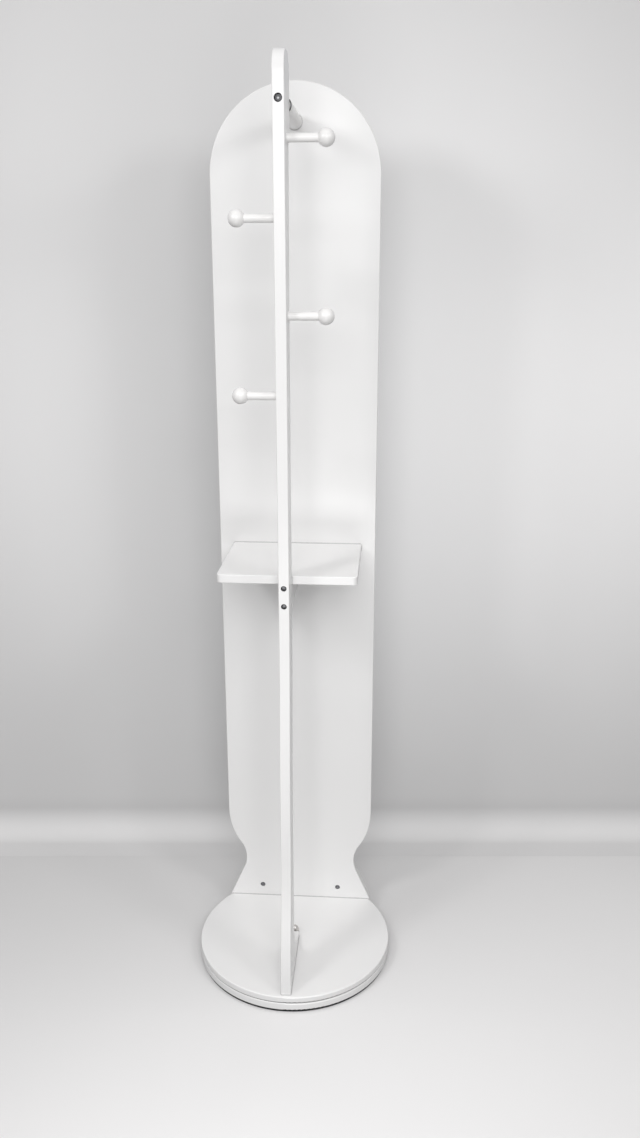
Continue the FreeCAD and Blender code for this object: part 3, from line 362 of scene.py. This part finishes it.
def silvered_glass(name):
    """Face of the mirror: bright silver with the faintest wiping haze."""
    material, tree, shader = new_material(name, Metallic=1.0, Coat_Weight=1.0,
                                          Coat_Roughness=0.01)
    place = object_place(tree)
    haze = noise(tree, place, 0.12, detail=5, roughness=0.6)
    tone = mix_colour(tree, haze, (0.86, 0.89, 0.885, 1), (0.90, 0.92, 0.92, 1))
    tree.links.new(tone, shader.inputs["Base Color"])
    wipe = noise(tree, object_place(tree, (1, 1, 0.2)), 0.03, detail=4)
    tree.links.new(spread(tree, wipe, 0.55, 0.8, 0.008, 0.035), shader.inputs["Roughness"])
    wave = noise(tree, place, 0.35, detail=1)
    tree.links.new(bump(tree, wave, 0.0002), shader.inputs["Normal"])
    return material


def glass_edge(name):
    """Ground edge of the glass, grey-green and lightly frosted."""
    material, tree, shader = new_material(name, Coat_Weight=0.6, Coat_Roughness=0.15)
    place = object_place(tree, (1, 3, 1))
    grind = noise(tree, place, 0.0012, detail=3)
    tone = mix_colour(tree, grind, (0.33, 0.47, 0.42, 1), (0.48, 0.62, 0.57, 1))
    tree.links.new(tone, shader.inputs["Base Color"])
    tree.links.new(spread(tree, grind, 0.3, 0.7, 0.2, 0.4), shader.inputs["Roughness"])
    tree.links.new(bump(tree, grind, 0.00003), shader.inputs["Normal"])
    return material


def finish(name):
    """The object's finishes by name, each made once."""
    if name in bpy.data.materials:
        return bpy.data.materials[name]
    wanted = settings()
    makers = {
        "white_board_lacquer": lambda: lacquer(
            name, wanted.board_colour, wanted.gloss, wanted.peel_size),
        "white_wood_lacquer": lambda: lacquer(
            name, wanted.wood_colour, wanted.gloss - 0.06, wanted.peel_size, (1, 0.4, 1)),
        "zinc_plating": lambda: plated_metal(name, (0.62, 0.64, 0.67), 0.32),
        # A lighter plating for the rod bolt's socket: a painted highlight.
        "bright_socket": lambda: plated_metal(name, (0.28, 0.28, 0.285), 0.38),
        # Darkened zinc: painted shade on the barrel nuts, and the painted highlight in the shelf
        # bolts' sockets.
        "dull_zinc": lambda: plated_metal(name, (0.20, 0.20, 0.21), 0.45),
        "dark_nickel": lambda: plated_metal(name, (0.05, 0.05, 0.052), 0.30),
        "satin_chrome": lambda: plated_metal(name, (0.60, 0.58, 0.56), 0.28, scratches=0.2),
        "bearing_plate_steel": lambda: plated_metal(name, (0.60, 0.61, 0.63), 0.36),
        "ball_steel": lambda: plated_metal(name, (0.72, 0.72, 0.74), 0.08, scratches=0.1),
        "plain_brass": lambda: plated_metal(name, (0.75, 0.55, 0.24), 0.28),
        "black_rubber": lambda: moulded(name, (0.022, 0.022, 0.023), 0.75, 0.0008, 0.00006),
        "grey_rubber": lambda: moulded(name, (0.10, 0.10, 0.105), 0.7, 0.0006, 0.00004),
        "natural_nylon": lambda: moulded(name, (0.78, 0.76, 0.70), 0.45, 0.0010, 0.00002),
        "dark_foam": lambda: moulded(name, (0.09, 0.09, 0.09), 0.85, 0.0009, 0.0002),
        "bare_beech": lambda: bare_wood(name, (0.66, 0.46, 0.27)),
        "mirror_silver": lambda: silvered_glass(name),
        "mirror_glass_edge": lambda: glass_edge(name),
    }
    return makers[name]()


def dress_node(node, finish_name):
    """Give a CAD node its finish."""
    data = frame["nodes"][node].data
    data.materials.clear()
    data.materials.append(finish(finish_name))


# ---------------------------------------------------------------- modelling helpers

def select_none():
    if bpy.context.object and bpy.context.object.mode != "OBJECT":
        bpy.ops.object.mode_set(mode="OBJECT")
    bpy.ops.object.select_all(action="DESELECT")


def name_piece(name):
    piece = bpy.context.object
    piece.name = name
    piece.data.name = name
    return piece


def settle(piece):
    """Put the piece's place into its mesh, so that its object sits at the origin."""
    select_none()
    piece.select_set(True)
    bpy.context.view_layer.objects.active = piece
    bpy.ops.object.transform_apply(location=True, rotation=True, scale=True)
    return piece


def pick(piece, kind, wanted):
    """Select only the faces, edges or vertices that the test picks, and go to edit mode."""
    bpy.ops.object.mode_set(mode="OBJECT")
    for group in (piece.data.vertices, piece.data.edges, piece.data.polygons):
        for item in group:
            item.select = False
    for item in getattr(piece.data, kind):
        item.select = wanted(item)
    modes = {"vertices": "VERT", "edges": "EDGE", "polygons": "FACE"}
    bpy.ops.object.mode_set(mode="EDIT")
    bpy.ops.mesh.select_mode(type=modes[kind])


def edge_middle(piece, edge):
    first, second = (piece.data.vertices[index].co for index in edge.vertices)
    return (first + second) / 2


def spun(name, points, steps, middle=(0, 0, 0), axis=(0, 0, 1)):
    """Turn a closed profile of (radius, height) points about an axis through `middle`."""
    select_none()
    along = Vector(axis)
    out = Vector((1, 0, 0)) if abs(along.x) < 0.5 else Vector((0, 0, 1))
    places = [Vector(middle) + out * radius + along * height for radius, height in points]
    bpy.ops.mesh.primitive_plane_add(size=0.001, location=places[0])
    piece = name_piece(name)
    bpy.ops.object.mode_set(mode="EDIT")
    bpy.ops.mesh.select_all(action="SELECT")
    bpy.ops.mesh.merge(type="CENTER")
    for start, end in zip(places, places[1:]):
        step = {"value": end - start}
        bpy.ops.mesh.extrude_region_move(TRANSFORM_OT_translate=step)
    bpy.ops.mesh.select_all(action="SELECT")
    if points[0][0] > 0:
        bpy.ops.mesh.edge_face_add()
        bpy.ops.mesh.delete(type="ONLY_FACE")
        bpy.ops.mesh.select_all(action="SELECT")
    bpy.ops.mesh.spin(steps=steps, angle=2 * math.pi, center=middle, axis=axis)
    bpy.ops.mesh.select_all(action="SELECT")
    bpy.ops.mesh.remove_doubles(threshold=0.000005)
    bpy.ops.mesh.normals_make_consistent(inside=False)
    bpy.ops.object.mode_set(mode="OBJECT")
    return settle(piece)


def combine(piece, tool, operation):
    """Change a piece by a tool solid, which is used up."""
    select_none()
    bpy.context.view_layer.objects.active = piece
    modifier = piece.modifiers.new("combine", "BOOLEAN")
    modifier.operation = operation
    modifier.object = tool
    bpy.ops.object.modifier_apply(modifier=modifier.name)
    bpy.data.objects.remove(tool)


def cut_away(piece, tool):
    """Subtract one solid from another."""
    combine(piece, tool, "DIFFERENCE")


def soften(piece, width, segments=2, limit=30):
    """Bevel the sharp edges."""
    select_none()
    bpy.context.view_layer.objects.active = piece
    modifier = piece.modifiers.new("soften", "BEVEL")
    modifier.width = width
    modifier.segments = segments
    modifier.limit_method = "ANGLE"
    modifier.angle_limit = math.radians(limit)
    bpy.ops.object.modifier_apply(modifier=modifier.name)


def smooth(piece, degrees=35):
    select_none()
    piece.select_set(True)
    bpy.context.view_layer.objects.active = piece
    bpy.ops.object.shade_smooth_by_angle(angle=math.radians(degrees))


def joined(name, parts):
    """Join like pieces into one object."""
    select_none()
    for part in parts:
        part.select_set(True)
    bpy.context.view_layer.objects.active = parts[0]
    bpy.ops.object.join()
    return name_piece(name)


def two_finishes(piece, first, second, wanted):
    """Give the piece one finish and the faces that the test picks another."""
    piece.data.materials.append(finish(first))
    piece.data.materials.append(finish(second))
    for face in piece.data.polygons:
        face.material_index = int(wanted(face))


def stand_for(piece, node, body):
    """Let the piece stand for a CAD node on its body."""
    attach(piece, body)
    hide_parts(node)
    return piece


# ---------------------------------------------------------------- camera and studio

def make_camera():
    data = bpy.data.cameras.new("camera")
    data.sensor_width = SENSOR
    data.lens = FOCAL_SHARE * SENSOR
    camera = bpy.data.objects.new("camera", data)
    camera.location = CAMERA_PLACE
    camera.rotation_euler = (CAMERA_PITCH, CAMERA_ROLL, CAMERA_YAW)
    bpy.context.scene.collection.objects.link(camera)
    bpy.context.scene.camera = camera


def make_lamp(name, place, aim, width, height, power):
    data = bpy.data.lights.new(name, "AREA")
    data.shape = "RECTANGLE"
    data.size = width
    data.size_y = height
    data.energy = power
    lamp = bpy.data.objects.new(name, data)
    lamp.location = place
    lamp.rotation_euler = (Vector(aim) - Vector(place)).to_track_quat("-Z", "Y").to_euler()
    lamp.visible_camera = False
    bpy.context.scene.collection.objects.link(lamp)


def stage_paper(name, colour, light_and_shade_pools):
    """Matt studio paper with painted light: paler patches of painted light and darker patches of
    painted shade. It throws back only a share of the tone that the camera sees."""
    material, tree, shader = new_material(name, Specular_IOR_Level=0.1, Roughness=0.9)
    place = add(tree, "TexCoord").outputs["Object"]
    level = spread(tree, noise(tree, place, 0.5), 0.2, 0.8, 0.99, 1.01)
    # Each pool paints a patch of light, above 1, and of shade, below 1, into the paper's tone.
    for middle, stretch, reach, inside, around in light_and_shade_pools:
        centre = tuple(-part * scale for part, scale in zip(middle, stretch))
        near = add(tree, "Mapping", {"Vector": place, "Location": centre, "Scale": stretch})
        away = add(tree, "VectorMath", {0: near.outputs["Vector"]}, operation="LENGTH")
        values = {"Value": away.outputs["Value"], "From Min": 0.0, "From Max": reach,
                  "To Min": inside, "To Max": around}
        pale = add(tree, "MapRange", values, interpolation_type="SMOOTHSTEP")
        level = maths(tree, "MULTIPLY", level, pale.outputs["Result"])
    rays = add(tree, "LightPath")
    seen = maths(tree, "MAXIMUM", rays.outputs["Is Camera Ray"], rays.outputs["Is Glossy Ray"])
    share = maths(tree, "MULTIPLY", level, spread(tree, seen, 0, 1, PAPER_BOUNCE, 1))
    tone = add(tree, "VectorMath", {0: colour, "Scale": share}, operation="SCALE")
    tree.links.new(tone.outputs["Vector"], shader.inputs["Base Color"])
    tree.links.new(bump(tree, noise(tree, place, 0.002, detail=3), 0.00005),
                   shader.inputs["Normal"])
    return material, tree, shader


def make_floor():
    select_none()
    bpy.ops.mesh.primitive_circle_add(vertices=96, radius=FLOOR_RADIUS, fill_type="NGON")
    floor = name_piece("studio_floor")
    material, _, _ = stage_paper("studio_floor_paper", FLOOR_TONE, FLOOR_LIGHT_POOLS)
    floor.data.materials.append(material)


def make_backdrop(distance, cove):
    """Paper wall that rises from the floor in a small cove, square to the camera's heading."""
    select_none()
    bpy.ops.mesh.primitive_plane_add(size=1, location=(0, 0, WALL_LIFT))
    wall = name_piece("studio_backdrop")
    bpy.ops.object.mode_set(mode="EDIT")
    bpy.ops.mesh.select_all(action="SELECT")
    bpy.ops.transform.resize(value=(WALL_WIDTH, WALL_FOOT, 1))
    bpy.ops.transform.translate(value=(0, distance - cove - WALL_FOOT / 2, 0))
    pick(wall, "edges", lambda edge: edge_middle(wall, edge).y > distance - cove - 0.001)
    bpy.ops.mesh.spin(steps=16, angle=-math.pi / 2, center=(0, distance - cove, cove),
                      axis=(1, 0, 0))
    bpy.ops.object.mode_set(mode="OBJECT")
    top = max(vertex.co.z for vertex in wall.data.vertices)
    pick(wall, "edges", lambda edge: edge_middle(wall, edge).z > top - 0.0001)
    bpy.ops.mesh.extrude_region_move(TRANSFORM_OT_translate={"value": (0, 0, WALL_RISE)})
    bpy.ops.mesh.select_all(action="SELECT")
    bpy.ops.transform.rotate(value=-CAMERA_YAW, orient_axis="Z", center_override=(0, 0, 0))
    bpy.ops.object.mode_set(mode="OBJECT")
    settle(wall)
    smooth(wall, 60)
    return wall


def paper_backdrop(wall):
    """Dress the backdrop. From its rear side it doesn't hide the stand."""
    material, tree, shader = stage_paper("studio_backdrop_paper", WALL_TONE, WALL_LIGHT_AND_SHADOW_POOLS)
    rays = add(tree, "LightPath").outputs["Is Camera Ray"]
    behind = add(tree, "NewGeometry").outputs["Backfacing"]
    clear = add(tree, "BsdfTransparent")
    hidden = maths(tree, "MULTIPLY", rays, behind)
    both = add(tree, "MixShader", {0: hidden, 1: shader.outputs[0], 2: clear.outputs[0]})
    output = next(node for node in tree.nodes if node.type == "OUTPUT_MATERIAL")
    tree.links.new(both.outputs[0], output.inputs["Surface"])
    wall.data.materials.append(material)
    wall.visible_shadow = False
    wall.visible_glossy = False


def hide_lamps_from(piece):
    """Keep the lamps' own shapes out of what a mirror shows."""
    shaded = bpy.data.collections.new("shaded_from_lamps")
    shaded.objects.link(piece)
    shaded.collection_objects[0].light_linking.link_state = "EXCLUDE"
    for lamp in bpy.context.scene.objects:
        if lamp.type == "LIGHT":
            lamp.light_linking.receiver_collection = shaded


def make_world(side_level, ceiling_level):
    """Pale air, brighter from the ceiling than from the sides."""
    world = bpy.data.worlds.new("studio_air")
    bpy.context.scene.world = world
    world.use_nodes = True
    tree = world.node_tree
    tree.nodes.clear()
    rays = add(tree, "LightPath")
    seen = maths(tree, "MAXIMUM", rays.outputs["Is Camera Ray"], rays.outputs["Is Glossy Ray"])
    way = add(tree, "TexCoord").outputs["Generated"]
    up = add(tree, "SeparateXYZ", {0: way}).outputs["Z"]
    level = spread(tree, up, 0, 1, side_level, ceiling_level)
    air = add(tree, "Background", {"Color": (1.0, 0.99, 0.985, 1), "Strength": level})
    paper = add(tree, "Background", {"Color": (0.74, 0.75, 0.77, 1), "Strength": 1.0})
    both = add(tree, "MixShader", {0: seen, 1: air.outputs[0], 2: paper.outputs[0]})
    output = add(tree, "OutputWorld")
    tree.links.new(both.outputs[0], output.inputs["Surface"])


class HALLSTAND_OT_studio(bpy.types.Operator):
    """Set up the camera, the pale floor and backdrop, and the soft lamps"""
    bl_idname = "hallstand.studio"
    bl_label = "Studio"

    def execute(self, context):
        wanted = settings()
        make_camera()
        make_world(wanted.side_level, wanted.ceiling_level)
        make_floor()
        wall = make_backdrop(wanted.wall_distance, wanted.cove_radius)
        paper_backdrop(wall)
        for name, (place, aim, width, height) in LAMPS.items():
            power = getattr(wanted, f"{name}_power")
            make_lamp(f"{name}_lamp", place, aim, width, height, power)
        context.scene.view_settings.view_transform = "Standard"
        return {"FINISHED"}


# ---------------------------------------------------------------- the stand

class HALLSTAND_OT_boards(bpy.types.Operator):
    """Lacquer both discs, the arched board, the upright, the shelf and its rail"""
    bl_idname = "hallstand.boards"
    bl_label = "Lacquered boards"

    def execute(self, context):
        for node in LACQUERED_BOARDS:
            dress_node(node, "white_board_lacquer")
        return {"FINISHED"}


class HALLSTAND_OT_pegs_and_rod(bpy.types.Operator):
    """Lacquer the turned pegs and the hanging rod"""
    bl_idname = "hallstand.pegs_and_rod"
    bl_label = "Pegs and rod"

    def execute(self, context):
        for peg in PEGS:
            dress_node(f"peg_stem_{peg}", "white_wood_lacquer")
            dress_node(f"peg_ball_{peg}", "white_wood_lacquer")
        dress_node("hanging_rod", "white_wood_lacquer")
        return {"FINISHED"}


class HALLSTAND_OT_hidden_fittings(bpy.types.Operator):
    """Finish the bearing and the fittings that are mostly hidden in the boards"""
    bl_idname = "hallstand.hidden_fittings"
    bl_label = "Bearing and fittings"

    def execute(self, context):
        for node in ZINC_PARTS:
            dress_node(node, "zinc_plating")
        for node in ("bearing_lower_plate", "bearing_upper_plate"):
            dress_node(node, "bearing_plate_steel")
        for node in ("cage_ring", "pivot_bush"):
            dress_node(node, "natural_nylon")
        for node in ("board_dowels", "rail_dowels"):
            dress_node(node, "bare_beech")
        dress_node("bearing_balls", "ball_steel")
        dress_node("rod_insert_nut", "plain_brass")
        dress_node("mirror_tapes", "dark_foam")
        dress_node("rod_ring", "grey_rubber")
        return {"FINISHED"}


class HALLSTAND_OT_mirror(bpy.types.Operator):
    """Model the arched mirror glass with its ground edge"""
    bl_idname = "hallstand.mirror"
    bl_label = "Mirror"

    def execute(self, context):
        low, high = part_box("mirror_panel")
        half = (high.x - low.x) / 2
        spring = high.z - half
        select_none()
        bpy.ops.mesh.primitive_circle_add(vertices=160, radius=half, fill_type="NGON",
                                          location=(0, low.y, spring),
                                          rotation=(math.pi / 2, 0, 0))
        mirror = settle(name_piece("mirror_glass"))
        bpy.ops.object.mode_set(mode="EDIT")
        bpy.ops.mesh.select_all(action="SELECT")
        bpy.ops.mesh.bisect(plane_co=(0, 0, spring), plane_no=(0, 0, 1), clear_inner=True)
        bpy.ops.object.mode_set(mode="OBJECT")
        pick(mirror, "edges", lambda edge: edge_middle(mirror, edge).z < spring + 0.00001)
        bpy.ops.mesh.extrude_region_move(
            TRANSFORM_OT_translate={"value": (0, 0, low.z - spring)})
        bpy.ops.mesh.select_all(action="SELECT")
        bpy.ops.mesh.remove_doubles(threshold=0.00001)
        bpy.ops.mesh.dissolve_limited(angle_limit=math.radians(0.5))
        bpy.ops.object.mode_set(mode="OBJECT")
        pick(mirror, "vertices", lambda vertex: vertex.co.z < low.z + 0.0001)
        bpy.ops.mesh.bevel(offset=MIRROR_CORNER, affect="VERTICES", segments=10)
        bpy.ops.mesh.select_all(action="SELECT")
        bpy.ops.mesh.extrude_region_move(
            TRANSFORM_OT_translate={"value": (0, high.y - low.y, 0)})
        bpy.ops.mesh.select_all(action="SELECT")
        bpy.ops.mesh.normals_make_consistent(inside=False)
        bpy.ops.object.mode_set(mode="OBJECT")
        soften(mirror, settings().mirror_arris, segments=1, limit=60)
        two_finishes(mirror, "mirror_silver", "mirror_glass_edge",
                     lambda face: face.normal.y < 0.99)
        smooth(mirror, 20)
        stand_for(mirror, "mirror_panel", "turntable")
        hide_lamps_from(mirror)
        return {"FINISHED"}


class HALLSTAND_OT_anti_slip_ring(bpy.types.Operator):
    """Model the grooved rubber ring under the base"""
    bl_idname = "hallstand.anti_slip_ring"
    bl_label = "Anti-slip ring"

    def execute(self, context):
        low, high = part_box("anti_slip_ring")
        outer = high.x
        inner = outer - RING_WIDTH
        lip = RING_LIP
        pitch = RING_WIDTH / (settings().tread_count + 1)
        groove = pitch / 4
        points = [(inner, high.z - lip), (inner, low.z + lip), (inner + lip, low.z)]
        for index in range(settings().tread_count):
            middle = inner + pitch * (index + 1)
            points += [(middle - groove, low.z),
                       (middle - groove / 2, low.z + GROOVE_DEPTH),
                       (middle + groove / 2, low.z + GROOVE_DEPTH),
                       (middle + groove, low.z)]
        points += [(outer - lip, low.z), (outer, low.z + lip), (outer, high.z - lip),
                   (outer - lip, high.z), (inner + lip, high.z)]
        ring = spun("rubber_ring", points, 160)
        ring.data.materials.append(finish("black_rubber"))
        smooth(ring, 40)
        stand_for(ring, "anti_slip_ring", "base")
        return {"FINISHED"}


def bolt_piece(name, place, head, length, socket, inside):
    """Bolt that points to the rear: head with a round rim, a hexagon socket whose faces get
    the finish `inside`, lighter than the dark head as a painted highlight, and a threaded end."""
    pitch = settings().thread_pitch
    crown = BOLT_SHANK / 2
    root = crown - pitch / 2
    rim = BOLT_HEAD_RIM
    points = [(0, BOLT_HEAD_DISH), (head / 2 - rim * 2, 0.0),
              (head / 2 - rim, BOLT_HEAD_EASE), (head / 2 - rim / 4, rim * 0.55),
              (head / 2, rim * 1.2), (head / 2, BOLT_HEAD_HEIGHT), (crown, BOLT_HEAD_HEIGHT)]
    turns = int(length * 0.45 / pitch)
    start = length - turns * pitch - pitch
    for index in range(turns):
        level = start + index * pitch
        points += [(crown, level), (root, level + pitch * 0.4), (root, level + pitch * 0.6)]
    points += [(crown, length - pitch), (root, length), (0, length)]
    bolt = spun(name, points, 40, place, (0, 1, 0))
    select_none()
    corner = socket / 2 / math.cos(math.pi / 6)
    bpy.ops.mesh.primitive_cylinder_add(vertices=6, radius=corner, depth=SOCKET_DEPTH * 2,
                                        location=place, rotation=(math.pi / 2, 0, 0))
    cut_away(bolt, settle(name_piece("socket_tool")))
    floor = place[1] + SOCKET_DEPTH

    def in_socket(face):
        away = math.hypot(face.center.x - place[0], face.center.z - place[2])
        mouth = floor - SOCKET_DEPTH * 0.8
        return away < corner and mouth < face.center.y < floor + CUT_SPARE

    # Painted highlight: the socket's faces are plated lighter than the head.
    two_finishes(bolt, "dark_nickel", inside, in_socket)
    return bolt


class HALLSTAND_OT_front_bolts(bpy.types.Operator):
    """Model the bolts in the front of the upright"""
    bl_idname = "hallstand.front_bolts"
    bl_label = "Front bolts"

    def execute(self, context):
        low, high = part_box("rod_front_bolt")
        head = high.x - low.x
        middle = (0, low.y, (low.z + high.z) / 2)
        rod_bolt = bolt_piece("rod_bolt", middle, head, high.y - low.y, ROD_BOLT_SOCKET,
                              "bright_socket")
        smooth(rod_bolt)
        stand_for(rod_bolt, "rod_front_bolt", "turntable")
        low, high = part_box("shelf_bolts")
        head = high.x - low.x
        parts = []
        for index, level in enumerate((low.z + head / 2, high.z - head / 2)):
            parts.append(bolt_piece(f"shelf_bolt_{index}", (0, low.y, level), head,
                                    high.y - low.y, SHELF_BOLT_SOCKET, "dull_zinc"))
        pair = joined("shelf_bolt_pair", parts)
        smooth(pair)
        stand_for(pair, "shelf_bolts", "turntable")
        return {"FINISHED"}


class HALLSTAND_OT_cap_nut(bpy.types.Operator):
    """Model the domed cap nut on the pivot"""
    bl_idname = "hallstand.cap_nut"
    bl_label = "Cap nut"

    def execute(self, context):
        low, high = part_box("pivot_cap_nut")
        flats = high.y - low.y
        corner = flats / 2 / math.cos(math.pi / 6)
        foot = low.z
        shoulder = foot + (high.z - low.z) * 0.6
        dome = flats / 2 * 0.9
        chamfer = flats * 0.07
        profile = [(0, foot), (flats / 2 * 0.96, foot), (corner, foot + chamfer),
                   (corner, shoulder - chamfer), (flats / 2 * 0.93, shoulder)]
        for step in range(9):
            angle = math.radians(step * 90 / 8)
            profile.append((dome * math.cos(angle),
                            shoulder + (high.z - shoulder) * math.sin(angle)))
        nut = spun("cap_nut", profile, 48)
        select_none()
        bpy.ops.mesh.primitive_cylinder_add(vertices=6, radius=corner, depth=(high.z - foot) * 3,
                                            location=(0, 0, foot), rotation=(0, 0, math.pi / 6))
        combine(nut, settle(name_piece("hexagon_tool")), "INTERSECT")
        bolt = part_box("pivot_bolt")[1]
        select_none()
        bpy.ops.mesh.primitive_cylinder_add(vertices=48, radius=PIVOT_BORE / 2,
                                            depth=(bolt.z + BORE_SPARE - foot) * 2,
                                            location=(0, 0, foot))
        cut_away(nut, settle(name_piece("bore_tool")))
        nut.data.materials.append(finish("satin_chrome"))
        smooth(nut)
        stand_for(nut, "pivot_cap_nut", "base")
        return {"FINISHED"}


def barrel_piece(name, place, axis, length, cross):
    """Barrel nut from its face into the wood: chamfers, a dimple, a driver slot and the
    hole for its bolt, `cross` metres behind the face."""
    radius = BARREL_DIAMETER / 2
    chamfer = BARREL_CHAMFER
    points = [(0, BARREL_DIMPLE), (radius * 0.45, 0), (radius - chamfer, 0), (radius, chamfer),
              (radius, length - chamfer), (radius - chamfer, length), (0, length)]
    nut = spun(name, points, 40, place, axis)
    select_none()
    bpy.ops.mesh.primitive_cube_add(size=1, location=place)
    slot = name_piece("slot_tool")
    slot.scale = [SLOT_DEPTH * 2 if abs(part) > 0.5 else BARREL_DIAMETER * 1.2 for part in axis]
    slot.scale.z = SLOT_WIDTH
    cut_away(nut, settle(slot))
    select_none()
    middle = Vector(place) + Vector(axis) * cross
    bpy.ops.mesh.primitive_cylinder_add(vertices=32, radius=BOLT_SHANK / 2 + CUT_SPARE,
                                        depth=BARREL_DIAMETER * 1.2, location=middle)
    cut_away(nut, settle(name_piece("cross_tool")))
    return nut


class HALLSTAND_OT_barrel_nuts(bpy.types.Operator):
    """Model the barrel nuts that show in the board and the upright"""
    bl_idname = "hallstand.barrel_nuts"
    bl_label = "Barrel nuts"

    def execute(self, context):
        radius = BARREL_DIAMETER / 2
        low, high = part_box("board_barrel_nuts")
        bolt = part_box("board_bolts")
        level = (low.z + high.z) / 2
        cross = (bolt[0].y + bolt[1].y) / 2 - low.y
        nuts = [barrel_piece(f"board_nut_{side}", (x, low.y, level), (0, 1, 0),
                             high.y - low.y, cross)
                for side, x in (("left", low.x + radius), ("right", high.x - radius))]
        self.finish_nuts("board_barrel_nut_pair", nuts, "board_barrel_nuts")
        low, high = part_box("post_barrel_nuts")
        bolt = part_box("post_bolts")
        cross = high.x - (bolt[0].x + bolt[1].x) / 2
        nuts = [barrel_piece(f"post_nut_{side}", (high.x, y, level), (-1, 0, 0),
                             high.x - low.x, cross)
                for side, y in (("front", low.y + radius), ("rear", high.y - radius))]
        self.finish_nuts("post_barrel_nut_pair", nuts, "post_barrel_nuts")
        return {"FINISHED"}

    def finish_nuts(self, name, nuts, node):
        pair = joined(name, nuts)
        # Painted shade: the nuts' zinc is darkened as the shade in their holes.
        pair.data.materials.append(finish("dull_zinc"))
        smooth(pair)
        stand_for(pair, node, "turntable")


class HALLSTAND_PT_panel(bpy.types.Panel):
    """Steps that build the stand, in order"""
    bl_idname = "HALLSTAND_PT_panel"
    bl_label = "Hall stand"
    bl_space_type = "VIEW_3D"
    bl_region_type = "UI"
    bl_category = "Hall stand"

    def draw(self, context):
        for step in STEPS:
            self.layout.operator(step.bl_idname)
        for name in HallStandSettings.__annotations__:
            self.layout.prop(context.scene.hall_stand, name)


STEPS = (HALLSTAND_OT_studio, HALLSTAND_OT_boards, HALLSTAND_OT_pegs_and_rod,
         HALLSTAND_OT_hidden_fittings, HALLSTAND_OT_mirror, HALLSTAND_OT_anti_slip_ring,
         HALLSTAND_OT_front_bolts, HALLSTAND_OT_cap_nut, HALLSTAND_OT_barrel_nuts)


def register():
    for item in (HallStandSettings, *STEPS, HALLSTAND_PT_panel):
        bpy.utils.register_class(item)
    bpy.types.Scene.hall_stand = PointerProperty(type=HallStandSettings)


def unregister():
    del bpy.types.Scene.hall_stand
    for item in (HALLSTAND_PT_panel, *reversed(STEPS), HallStandSettings):
        bpy.utils.unregister_class(item)


def main():
    register()
    for step in STEPS:
        family, action = step.bl_idname.split(".")
        getattr(getattr(bpy.ops, family), action)()


if __name__ == "__main__":
    main()
